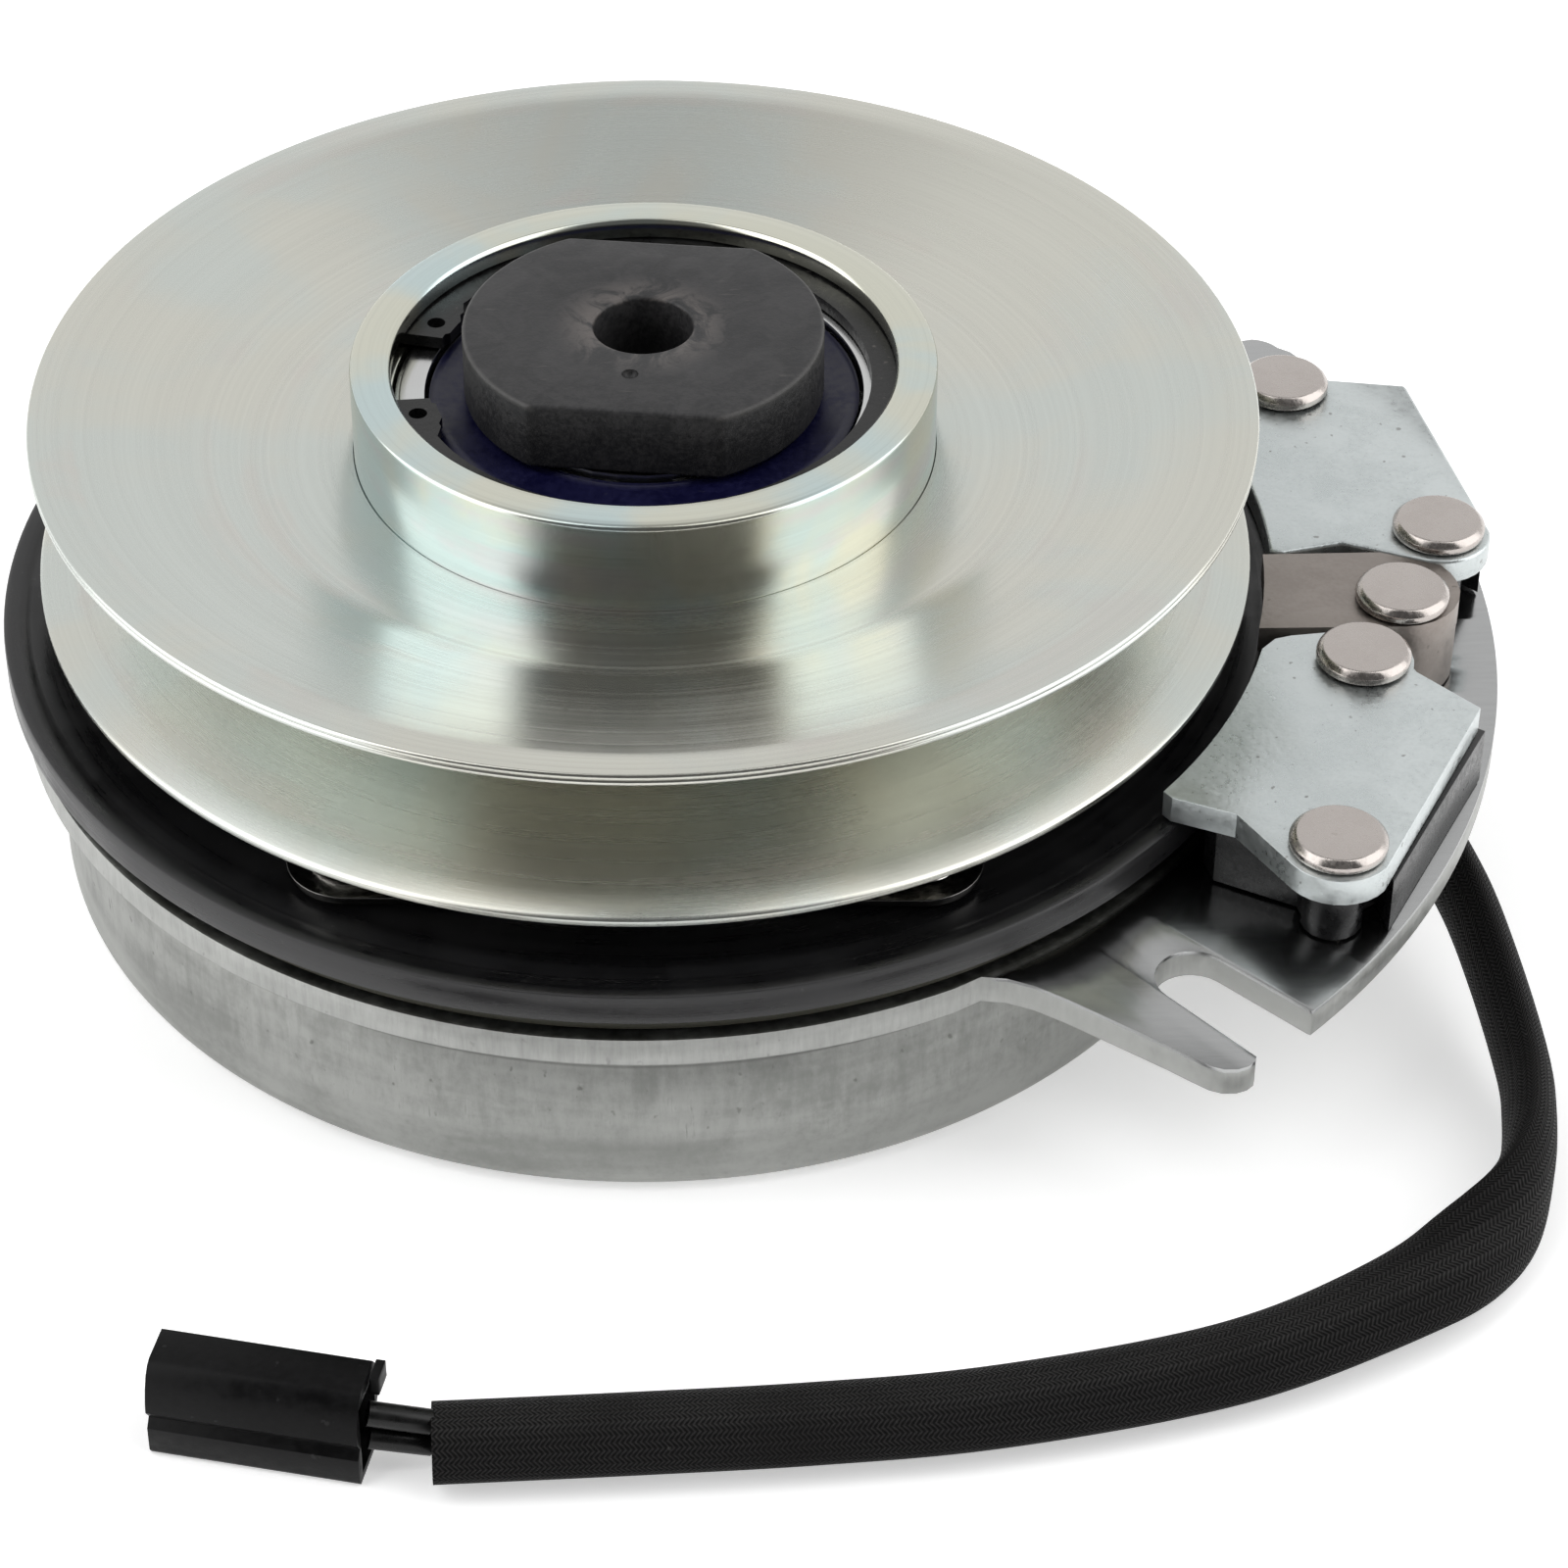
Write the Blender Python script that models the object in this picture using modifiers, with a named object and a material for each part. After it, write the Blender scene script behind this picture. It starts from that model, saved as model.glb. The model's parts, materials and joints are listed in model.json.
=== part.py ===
"""Electromagnetic clutch and brake for the blade drive of a lawn mower.

Units in this file are millimetres, turned into metres when the meshes are made.
Radii and places are measured from the shaft axis, which stands at AXIS in the frame.
The crankshaft enters the keyed bore from below, and the belt pulley is at the top.
"""
import math

import bmesh
import bpy
from mathutils import Matrix, Vector

MM = 0.001
AXIS = (-13.55, 2.65)

# circle resolution
BIG = 56
MID = 36
SMALL = 16

# field shell, drawn from one sheet with its flange
SHEET = 3.8
SHELL_TOP = 28.0
WALL_R = 76.5
LIP_R = 80.2
FLANGE_R = 108.8
DRAW_R = 3.5

BOTTOM_R = 3.4
INNER_CORNER_R = 1.5
COIL_MOUTH_R = 38.0

# faces that touch in the real part stay this far apart
GAP = 0.3

# rotor, armature and brake heights
ROTOR_TOP = 30.8
ROTOR_R = 79.0
SPACER_R = 15.3
ARMATURE_LOW = 31.5
ARMATURE_TOP = 36.0
ARMATURE_R = 81.7
ARMATURE_INNER_R = 40.0
POLE_LOW = 36.3
POLE_TOP = 39.9
HOLDER_LOW = SHELL_TOP + GAP

# brake pins
PIN_TOP = 41.9
PIN_HEAD_R = 5.9
PIN_SHANK_R = 2.4
PIN_HOLE_R = 2.75

# nose
NOSE_R = 22.3
NOSE_TOP = 74.0
NOSE_FLAT = 18.95
NOSE_TURN = -7.6
BOLT_HOLE_R = 6.15

# bore and bearings
BORE_R = 12.75
KEY_WIDTH = 6.35
KEY_DEPTH = 3.2
UPPER_BEARING = (48.7, 64.7)
LOWER_BEARING = (6.0, 20.0)

# pulley
RIM_R = 76.2
RIM_TOP = 64.0
HUB_R = 36.33
HUB_TOP = 69.4
HUB_BORE_R = 31.3

# spring rivets and leaf springs
RIVET_R = 67.5
SPRING_HALF_WIDTH = 7.4
SPRING_LOW = 36.3
SPRING_TOP = 37.3
PULLEY_RIVETS = (-122.0, -2.0, 118.0)
ARMATURE_RIVETS = (-62.0, 58.0, 178.0)

# brake banks: the rear bank is the front one turned about the axis
BANK_TURN = 38.0
PIN_A = (80.7, -61.4)
PIN_B = (88.3, -25.5)
CENTRE_PIN = (94.8, -13.1)

# lead: the route of the sleeve's middle line, out of the shell wall and round the front, and
# how many straight pieces its smooth curve gets between two of these points
LEAD_ANGLE = -10.0
LEAD_Z = 14.4
SLEEVE_D = 8.0
WIRE_D = 3.0
SLEEVE_ROUTE = (
    (79.4, -14.0, 14.4), (88.8, -16.9, 14.4), (96.9, -25.6, 14.1), (101.0, -38.2, 13.4),
    (103.5, -51.3, 10.9), (105.3, -64.8, 7.4), (105.0, -72.7, 6.4), (103.5, -81.0, 6.0),
    (100.6, -88.2, 5.7), (94.9, -94.6, 5.3), (87.5, -100.2, 4.9), (72.0, -108.1, 4.4),
    (57.2, -112.8, 4.2), (35.9, -116.8, 4.1), (17.0, -118.5, 4.1), (-2.3, -119.4, 4.1),
    (-25.8, -120.2, 4.1),
)
SLEEVE_STEPS = 2
CONNECTOR_AT = (-45.6, -115.4)
CONNECTOR_TURN = -10.0
CONNECTOR_SIZE = (25.0, 9.0, 12.6)
CONNECTOR_VALLEY = 5.3

parts = bpy.data.collections.new("electromagnetic_clutch")
cutters = bpy.data.collections.new("clutch_cutters")


def clear_scene():
    for ob in list(bpy.data.objects):
        bpy.data.objects.remove(ob, do_unlink=True)
    bpy.context.scene.collection.children.link(parts)
    bpy.context.scene.collection.children.link(cutters)


def material(name, colour, metallic, roughness):
    mat = bpy.data.materials.get(name)
    if mat:
        return mat
    mat = bpy.data.materials.new(name)
    mat.use_nodes = True
    bsdf = mat.node_tree.nodes["Principled BSDF"]
    bsdf.inputs["Base Color"].default_value = (*colour, 1.0)
    bsdf.inputs["Metallic"].default_value = metallic
    bsdf.inputs["Roughness"].default_value = roughness
    mat.diffuse_color = (*colour, 1.0)
    return mat


def zinc():
    return material("zinc_plated_steel", (0.62, 0.62, 0.58), 1.0, 0.28)


def raw_steel():
    return material("drawn_steel", (0.48, 0.48, 0.46), 1.0, 0.48)


def black_steel():
    return material("blackened_steel", (0.02, 0.02, 0.02), 0.6, 0.35)


def rotor_steel():
    return material("rotor_steel", (0.06, 0.06, 0.045), 0.7, 0.5)


def nose_steel():
    return material("phosphated_steel", (0.035, 0.036, 0.038), 0.5, 0.55)


def ground_steel():
    return material("bearing_steel", (0.62, 0.62, 0.62), 1.0, 0.2)


def navy_rubber():
    return material("seal_rubber", (0.01, 0.012, 0.09), 0.0, 0.45)


def pole_steel():
    return material("pole_plate_steel", (0.56, 0.6, 0.61), 1.0, 0.42)


def sintered():
    return material("sintered_iron", (0.24, 0.2, 0.17), 0.9, 0.5)


def pin_steel():
    return material("pin_steel", (0.42, 0.38, 0.35), 1.0, 0.25)


def black_plastic():
    return material("black_plastic", (0.015, 0.015, 0.016), 0.0, 0.4)


def place(ob, x=0.0, y=0.0, z=0.0, turn=0.0):
    ob.location = ((AXIS[0] + x) * MM, (AXIS[1] + y) * MM, z * MM)
    ob.rotation_euler = (0.0, 0.0, math.radians(turn))
    return ob


def add(name, mesh, mat, collection=None):
    ob = bpy.data.objects.new(name, mesh)
    (collection or parts).objects.link(ob)
    if mat:
        mesh.materials.append(mat)
    if collection is cutters:
        ob.hide_render = True
        ob.display_type = "WIRE"
    return place(ob)


def turned(name, profile, mat, steps=MID, collection=None):
    """A body of revolution. The profile runs down its outer side, then back up inside."""
    mesh = bpy.data.meshes.new(name)
    verts = [(r * MM, 0.0, z * MM) for r, z in profile]
    count = len(verts)
    touches = profile[0][0] == 0.0
    last = count - 1 if touches else count
    mesh.from_pydata(verts, [(i, (i + 1) % count) for i in range(last)], [])
    ob = add(name, mesh, mat, collection)
    screw = ob.modifiers.new("Turn", "SCREW")
    screw.axis = "Z"
    screw.angle = math.tau
    screw.steps = steps
    screw.render_steps = steps
    screw.use_merge_vertices = True
    screw.merge_threshold = 0.00001
    screw.use_smooth_shade = True
    return ob


def arc(cx, cy, r, start, end, steps):
    span = end - start
    out = []
    for i in range(steps + 1):
        a = math.radians(start + span * i / steps)
        out.append((cx + r * math.cos(a), cy + r * math.sin(a)))
    return out


def polar(r, degrees):
    a = math.radians(degrees)
    return (r * math.cos(a), r * math.sin(a))


def spin(points, degrees):
    a = math.radians(degrees)
    c = math.cos(a)
    s = math.sin(a)
    return [(x * c - y * s, x * s + y * c) for x, y in points]


def flat(name, loops, low, high, mat, collection=None):
    """A flat plate between two heights. The first loop is its edge, any others are holes."""
    curve = bpy.data.curves.new(name, "CURVE")
    curve.dimensions = "2D"
    curve.fill_mode = "BOTH"
    curve.extrude = (high - low) / 2 * MM
    for loop in loops:
        spline = curve.splines.new("POLY")
        spline.points.add(len(loop) - 1)
        for point, (x, y) in zip(spline.points, loop):
            point.co = (x * MM, y * MM, 0.0, 1.0)
        spline.use_cyclic_u = True
    source = bpy.data.objects.new(name + "_outline", curve)
    parts.objects.link(source)
    bpy.context.view_layer.update()
    graph = bpy.context.evaluated_depsgraph_get()
    mesh = bpy.data.meshes.new_from_object(source.evaluated_get(graph))
    bpy.data.objects.remove(source, do_unlink=True)
    work = bmesh.new()
    work.from_mesh(mesh)
    bmesh.ops.remove_doubles(work, verts=work.verts, dist=0.000001)
    bmesh.ops.translate(work, verts=work.verts, vec=(0.0, 0.0, (low + high) / 2 * MM))
    bmesh.ops.recalc_face_normals(work, faces=work.faces)
    work.to_mesh(mesh)
    work.free()
    mesh.name = name
    mesh.materials.clear()
    return add(name, mesh, mat, collection)


def combine(ob, other, operation):
    mod = ob.modifiers.new(operation.title(), "BOOLEAN")
    mod.operation = operation
    mod.solver = "EXACT"
    mod.object = other
    return ob


def hole(ob, x, y, r, low, high, steps=SMALL):
    profile = [(0.0, high), (r, high), (r, low), (0.0, low)]
    cutter = turned(ob.name + "_hole", profile, None, steps, cutters)
    place(cutter, x, y)
    return combine(ob, cutter, "DIFFERENCE")


def flange_outline():
    """The trimmed edge of the drawn sheet: the lip, the slotted finger and the brake arc."""
    lip = arc(0, 0, LIP_R, 50.0, 297.0, 52)
    finger = [
        (41.2, -70.2), (45.6, -72.6), (51.7, -77.0), (59.2, -82.7), (62.4, -85.5),
        (64.4, -86.9), (66.7, -87.0), (68.6, -86.2), (69.3, -85.1),
    ]
    slot = [(60.0, -74.4), (59.0, -72.2), (59.2, -69.6), (60.8, -67.4), (63.2, -66.2), (66.0, -66.8)]
    edge = arc(0, 0, FLANGE_R, -45.2, 34.0, 26)
    rear = [polar(108.0, 35.6), polar(106.2, 37.0), polar(103.2, 38.2), polar(92.0, 41.8), polar(84.0, 46.0)]
    return lip + finger + slot + edge + rear


def field_shell():
    top = SHELL_TOP
    low = top - SHEET
    cy = low - DRAW_R
    cx = WALL_R + DRAW_R
    profile = [(FLANGE_R + 4, top), (FLANGE_R + 4, low)]
    profile += arc(cx, cy, DRAW_R, 90, 180, 2)
    profile += arc(WALL_R - BOTTOM_R, BOTTOM_R, BOTTOM_R, 0, -90, 3)
    profile += [(COIL_MOUTH_R, 0.0), (COIL_MOUTH_R, SHEET)]
    corner = SHEET + INNER_CORNER_R
    profile += arc(WALL_R - corner, corner, INNER_CORNER_R, -90, 0, 2)
    profile += arc(cx, cy, DRAW_R + SHEET, 180, 92, 3)
    ob = turned("field_shell", profile, raw_steel(), 52)
    trim = flat("flange_trim", [flange_outline()], -2.0, 40.0, None, cutters)
    combine(ob, trim, "INTERSECT")
    for x, y in pin_places():
        hole(ob, x, y, PIN_HOLE_R, 20.0, 32.0)
    cutter = turned("lead_hole", [(0.0, 12.0), (3.9, 12.0), (3.9, -12.0), (0.0, -12.0)], None, SMALL, cutters)
    x, y = polar(WALL_R - 2.0, LEAD_ANGLE)
    place(cutter, x, y, LEAD_Z)
    cutter.rotation_euler = (0.0, math.radians(90), math.radians(LEAD_ANGLE))
    combine(ob, cutter, "DIFFERENCE")


def pin_places():
    return [PIN_A, PIN_B, CENTRE_PIN] + spin([PIN_A, PIN_B], BANK_TURN)


def inner_pole():
    profile = [
        (37.6, 26.0), (37.6, 0.4), (31.3, 0.4), (31.3, 4.0), (32.8, 4.0), (32.8, 5.9),
        (31.3, 5.9), (31.3, 20.3), (29.2, 20.3), (29.2, 22.6), (31.3, 22.6), (31.3, 26.0),
    ]
    turned("inner_pole", profile, raw_steel(), MID)


def coil():
    bobbin = [
        (68.2, 20.0), (68.2, 18.6), (40.0, 18.6), (40.0, 5.6), (68.2, 5.6), (68.2, 4.2),
        (38.2, 4.2), (38.2, 20.0),
    ]
    turned("coil_bobbin", bobbin, material("bobbin_nylon", (0.55, 0.5, 0.4), 0.0, 0.5), MID)
    winding = [(67.6, 18.3), (67.6, 5.9), (40.3, 5.9), (40.3, 18.3)]
    turned("coil_winding", winding, material("enamelled_copper", (0.45, 0.16, 0.06), 0.9, 0.35), MID)
    potting = [(68.2, 22.2), (68.2, 20.3), (38.2, 20.3), (38.2, 22.2)]
    turned("coil_potting", potting, material("potting_resin", (0.03, 0.05, 0.03), 0.0, 0.35), MID)


def ring_with_groove(name, outer, inner, low, high, depth, groove_outside):
    mid = (low + high) / 2
    if groove_outside:
        profile = [
            (outer, high), (outer, mid + 2.6), (outer - depth, mid), (outer, mid - 2.6), (outer, low),
            (inner, low), (inner, high),
        ]
    else:
        profile = [
            (outer, high), (outer, low), (inner, low), (inner, mid - 3.0), (inner + depth, mid),
            (inner, mid + 3.0), (inner, high),
        ]
    return turned(name, profile, ground_steel(), MID)


def ball_set(name, pitch, ball_r, mid, count):
    """The balls and their cage, joined where each ball sits in its pocket."""
    outer = pitch + 0.7
    inner = pitch - 0.7
    cage = [(outer, mid + 0.9), (outer, mid - 0.9), (inner, mid - 0.9), (inner, mid + 0.9)]
    ob = turned(name, cage, ground_steel(), 2 * count)
    balls = bpy.data.meshes.new(name + "_balls")
    work = bmesh.new()
    for i in range(count):
        x, y = polar(pitch, 360.0 * (i + 0.25) / count)
        at = Matrix.Translation((x * MM, y * MM, mid * MM))
        bmesh.ops.create_icosphere(work, subdivisions=2, radius=ball_r * MM, matrix=at)
    work.to_mesh(balls)
    work.free()
    other = add(name + "_balls", balls, None, cutters)
    combine(ob, other, "UNION")


def seal(name, inner, outer, low, high, mat):
    turned(name, [(outer, high), (outer, low), (inner, low), (inner, high)], mat, MID)


def snap_ring(name, outer, inner, low, high, gap, lugs):
    """An inside ring, open at one side, with an eye for the pliers at each end."""
    half = 13.5
    loop = arc(0, 0, outer, gap + half, gap + 360 - half, 32)
    loop += arc(0, 0, lugs, gap - half, gap - half - 14, 3)
    loop += arc(0, 0, inner, gap - half - 16, gap - 360 + half + 16, 26)
    loop += arc(0, 0, lugs, gap + half + 14, gap + half, 3)
    eyes = []
    for side in (-1, 1):
        x, y = polar((outer + lugs) / 2 - 0.5, gap + side * (half + 6.5))
        eyes.append(arc(x, y, 1.15, 324, 0, 9))
    flat(name, [loop] + eyes, low, high, material("spring_ring_steel", (0.03, 0.03, 0.03), 0.6, 0.4))


def field_bearing():
    low, high = LOWER_BEARING
    ring_with_groove("field_bearing_outer", 31.0, 27.6, low, high, 1.0, False)
    ring_with_groove("field_bearing_inner", 21.0, 17.5, low, high, 1.0, True)
    ball_set("field_bearing_balls", 24.3, 3.9, (low + high) / 2, 8)
    black = material("bearing_seal_rubber", (0.02, 0.02, 0.02), 0.0, 0.6)
    seal("field_bearing_seal_low", 21.5, 27.1, low + 0.4, low + 1.2, black)
    seal("field_bearing_seal_top", 21.5, 27.1, high - 1.2, high - 0.4, black)
    snap_ring("field_snap_ring", 32.4, 28.4, 4.3, 5.7, 90.0, 26.4)


def pulley_bearing():
    low, high = UPPER_BEARING
    ring_with_groove("pulley_bearing_outer", 31.0, 27.2, low, high, 1.0, False)
    ring_with_groove("pulley_bearing_inner", 19.0, 15.3, low, high, 1.0, True)
    ball_set("pulley_bearing_balls", 23.1, 4.6, (low + high) / 2, 9)
    seal("pulley_bearing_seal_low", 19.5, 26.7, low + 0.4, low + 1.2, navy_rubber())
    seal("pulley_bearing_seal_top", 19.5, 26.7, high - 1.2, high - 0.4, navy_rubber())
    snap_ring("pulley_snap_ring", 32.6, 28.2, 65.0, 66.6, 175.0, 26.2)


def rotor():
    top = ROTOR_TOP
    profile = [
        (ROTOR_R, top), (ROTOR_R, 28.5), (72.3, 28.5), (72.3, 18.8), (69.0, 18.8), (69.0, 26.2), (41.5, 26.2),
        (41.5, 22.9), (38.2, 22.9), (38.2, 27.0), (17.2, 27.0), (17.2, 1.0), (BORE_R, 1.0), (BORE_R, top),
        (57.8, top), (57.8, 28.0), (66.2, 28.0), (66.2, top),
    ]
    ob = turned("rotor", profile, rotor_steel(), 44)
    for i in range(3):
        start = 120.0 * i + 15.0
        loop = arc(0, 0, 54.4, start, start + 90, 8) + arc(0, 0, 50.6, start + 90, start, 8)
        cutter = flat("rotor_slot", [loop], 20.0, 36.0, None, cutters)
        combine(ob, cutter, "DIFFERENCE")
    reach = BORE_R + KEY_DEPTH
    w = KEY_WIDTH / 2
    key = flat("rotor_keyway", [[(w, 5.0), (w, reach), (-w, reach), (-w, 5.0)]], -1.0, 40.0, None, cutters)
    combine(ob, key, "DIFFERENCE")
    friction = [(65.7, 30.6), (65.7, 28.3), (58.5, 28.3), (58.5, 30.6)]
    turned("friction_ring", friction, material("friction_lining", (0.12, 0.1, 0.07), 0.0, 0.9), MID)


def bearing_spacer():
    low = ROTOR_TOP + GAP
    high = UPPER_BEARING[0] - GAP
    profile = [(18.8, high), (18.8, low), (SPACER_R, low), (SPACER_R, high)]
    turned("bearing_spacer", profile, ground_steel(), MID)


def nose_hub():
    low = ROTOR_TOP + GAP
    shoulder = UPPER_BEARING[1] + GAP
    chamfer = 0.5
    profile = [
        (NOSE_R - chamfer, NOSE_TOP), (NOSE_R, NOSE_TOP - chamfer), (NOSE_R, shoulder),
        (SPACER_R - GAP, shoulder), (SPACER_R - GAP, low), (BORE_R, low), (BORE_R, 64.6),
        (BOLT_HOLE_R, 64.6), (BOLT_HOLE_R, NOSE_TOP - chamfer), (BOLT_HOLE_R + chamfer, NOSE_TOP),
    ]
    ob = turned("nose_hub", profile, nose_steel(), 40)
    for side in (-1, 1):
        near = NOSE_FLAT * side
        far = 30.0 * side
        loop = [(-30.0, near), (30.0, near), (30.0, far), (-30.0, far)]
        if side < 0:
            loop.reverse()
        cutter = flat("nose_flat", [spin(loop, NOSE_TURN)], 60.0, 80.0, None, cutters)
        combine(ob, cutter, "DIFFERENCE")


def pulley():
    hub = [
        (HUB_R - 0.5, HUB_TOP), (HUB_R, HUB_TOP - 0.5), (HUB_R, 54.4), (48.4, 54.4),
        (48.4, 50.7), (HUB_R, 50.7), (HUB_R, 42.4), (28.6, 42.4), (28.6, 48.4), (HUB_BORE_R, 48.4),
        (HUB_BORE_R, 64.7), (33.0, 64.7), (33.0, 66.9), (HUB_BORE_R, 66.9), (HUB_BORE_R, 68.9),
        (HUB_BORE_R + 0.5, HUB_TOP),
    ]
    turned("pulley_hub", hub, zinc(), 40)
    upper = [
        (RIM_R - 0.3, RIM_TOP), (RIM_R, RIM_TOP - 0.3), (RIM_R, RIM_TOP - 1.4), (71.6, 61.2), (49.4, 54.7),
        (36.7, 54.7), (36.7, 57.2), (49.0, 57.2), (71.8, RIM_TOP),
    ]
    turned("sheave_upper", upper, zinc(), BIG)
    lower = [
        (76.4, 43.0), (76.4, 41.9), (36.7, 41.9), (36.7, 50.4), (48.8, 50.4), (71.6, 44.3),
    ]
    ob = turned("sheave_lower", lower, zinc(), BIG)
    for angle in PULLEY_RIVETS:
        x, y = polar(RIVET_R, angle)
        hole(ob, x, y, 2.8, 38.0, 44.2)


def armature():
    top = ARMATURE_TOP
    profile = [
        (ARMATURE_R - 0.35, top), (ARMATURE_R, top - 0.35), (ARMATURE_R, ARMATURE_LOW),
        (ARMATURE_INNER_R, ARMATURE_LOW), (ARMATURE_INNER_R, top),
    ]
    ob = turned("armature", profile, black_steel(), BIG)
    for angle in PULLEY_RIVETS:
        x, y = polar(RIVET_R, angle)
        hole(ob, x, y, 5.8, 28.0, 40.0, 20)
    for angle in ARMATURE_RIVETS:
        x, y = polar(RIVET_R, angle)
        hole(ob, x, y, 2.9, 28.0, 40.0)


def capsule(a, b, r, steps):
    """An outline with round ends of one radius about two points."""
    heading = math.degrees(math.atan2(b[1] - a[1], b[0] - a[0]))
    far = arc(b[0], b[1], r, heading - 90, heading + 90, steps)
    return far + arc(a[0], a[1], r, heading + 90, heading + 270, steps)


def leaf_springs():
    steel = material("spring_steel", (0.07, 0.06, 0.055), 0.9, 0.35)
    for i in range(3):
        a = polar(RIVET_R, PULLEY_RIVETS[i])
        b = polar(RIVET_R, ARMATURE_RIVETS[i])
        loops = [capsule(a, b, SPRING_HALF_WIDTH, 8)]
        for x, y in (a, b):
            loops.append(arc(x, y, 2.7, 330, 0, 11))
        flat("leaf_spring_%d" % (i + 1), loops, SPRING_LOW, SPRING_TOP, steel)
        boss = [
            (0.0, 43.9), (2.4, 43.9), (2.4, 41.6), (4.4, 41.6), (4.6, 37.6), (2.4, 37.6), (2.4, 35.9),
            (4.2, 35.9), (3.4, 34.2), (0.0, 33.9),
        ]
        place(turned("pulley_rivet_%d" % (i + 1), boss, pin_steel(), SMALL), a[0], a[1])
        dome = [
            (0.0, 39.9), (1.8, 39.7), (3.4, 39.0), (4.5, 37.6), (2.4, 37.6), (2.4, 31.8), (0.0, 31.8),
        ]
        place(turned("armature_rivet_%d" % (i + 1), dome, pin_steel(), SMALL), b[0], b[1])


def plate_outline():
    """The stamped pole plate, with a round end at each pin and a corner over the armature."""
    outline = arc(0, 0, 79.4, -16.8, -39.7, 9)
    outline += [(62.0, -52.0), (69.4, -55.3)]
    outline += arc(PIN_A[0], PIN_A[1], 6.7, 212, 321, 9)
    outline += [(101.4, -35.6), (94.6, -28.2)]
    outline += arc(PIN_B[0], PIN_B[1], 6.3, 342, 443, 7)
    outline += [(80.0, -20.3), (77.9, -20.9)]
    return outline


def holder_outline():
    """The moulded magnet holder below the plate, with a post round each pin."""
    outline = arc(0, 0, 83.4, -19.5, -37.0, 6)
    outline += [(67.4, -53.6), (76.9, -58.8)]
    outline += arc(PIN_A[0], PIN_A[1], 3.7, 160, 380, 10)
    outline += [(86.4, -58.4), (87.3, -63.6), (102.4, -35.2), (94.6, -30.0)]
    outline += arc(PIN_B[0], PIN_B[1], 4.8, 325, 465, 7)
    return outline


def brake_bank(label, turn):
    plate = flat("brake_plate_" + label, [spin(plate_outline(), turn)], POLE_LOW, POLE_TOP, pole_steel())
    holder_top = POLE_LOW - GAP
    outline = spin(holder_outline(), turn)
    holder = flat("magnet_holder_" + label, [outline], HOLDER_LOW, holder_top, black_plastic())
    pins = spin([PIN_A, PIN_B], turn)
    for x, y in pins:
        hole(plate, x, y, PIN_HOLE_R, 34.0, 42.0)
        hole(holder, x, y, PIN_HOLE_R, 26.0, 38.0)
    u = Vector(polar(1.0, -28.0))
    t = Vector((-u.y, u.x))
    corners = [(86.8, -10.4), (102.2, -10.4), (102.2, 11.0), (86.8, 11.0)]
    pocket = [tuple(u * a + t * b) for a, b in corners]
    slug = [tuple(u * (a + da) + t * (b + db)) for (a, b), (da, db) in zip(
        corners, ((0.4, 0.4), (-0.4, 0.4), (-0.4, -0.4), (0.4, -0.4)))]
    cutter = flat("magnet_pocket", [spin(pocket, turn)], 26.0, 38.0, None, cutters)
    combine(holder, cutter, "DIFFERENCE")
    ferrite = material("ferrite", (0.03, 0.03, 0.03), 0.2, 0.7)
    flat("brake_magnet_" + label, [spin(slug, turn)], HOLDER_LOW + 0.1, holder_top - 0.1, ferrite)


def centre_pole():
    """The sintered pole between the banks: a bar over the armature on a block on the flange."""
    mid = -11.0
    half = 7.9
    outline = arc(0, 0, 78.4, -2.3, -13.8, 5)
    outline += arc(94.5, mid, half, -90, 38, 9)
    outline += [(93.2, mid + half)]
    bar = flat("brake_centre_pole", [outline], POLE_LOW, POLE_TOP, sintered())
    block = [(83.6, mid - half + 0.1), (93.0, mid - half + 0.1)]
    block += arc(94.5, mid, half - 0.1, -80, 36, 8)
    block += [(92.8, mid + half - 0.1), (83.6, mid + half - 0.1)]
    other = flat("pole_block", [block], HOLDER_LOW, POLE_LOW + 1.6, None, cutters)
    combine(bar, other, "UNION")
    hole(bar, CENTRE_PIN[0], CENTRE_PIN[1], PIN_HOLE_R, 26.0, 42.0)


def brake_pins():
    low = SHELL_TOP - SHEET
    chamfer = 0.7
    profile = [
        (0.0, PIN_TOP), (PIN_HEAD_R - chamfer, PIN_TOP), (PIN_HEAD_R, PIN_TOP - chamfer),
        (PIN_HEAD_R, POLE_TOP + GAP), (PIN_SHANK_R, POLE_TOP + GAP), (PIN_SHANK_R, low), (0.0, low),
    ]
    for i, (x, y) in enumerate(pin_places()):
        place(turned("brake_pin_%d" % (i + 1), profile, pin_steel(), SMALL), x, y)


def smooth_line(points, steps):
    """Points on a smooth curve through the given ones, with steps straight pieces between two."""
    spots = [Vector(p) for p in points]
    spots = [spots[0]] + spots + [spots[-1]]
    line = []
    for before, here, there, after in zip(spots, spots[1:], spots[2:], spots[3:]):
        for i in range(steps):
            t = i / steps
            straight = 2 * here + (there - before) * t
            bent = (2 * before - 5 * here + 4 * there - after) * t ** 2
            twice = (3 * here - before - 3 * there + after) * t ** 3
            line.append((straight + bent + twice) / 2)
    return line + [spots[-1]]


def tube(name, route, diameter, mat, sides=2):
    curve = bpy.data.curves.new(name, "CURVE")
    curve.dimensions = "3D"
    curve.bevel_depth = diameter / 2 * MM
    curve.bevel_resolution = sides
    curve.use_fill_caps = True
    spline = curve.splines.new("POLY")
    spline.points.add(len(route) - 1)
    for point, (x, y, z) in zip(spline.points, route):
        point.co = (x * MM, y * MM, z * MM, 1.0)
    ob = bpy.data.objects.new(name, curve)
    parts.objects.link(ob)
    curve.materials.append(mat)
    return place(ob)


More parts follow.
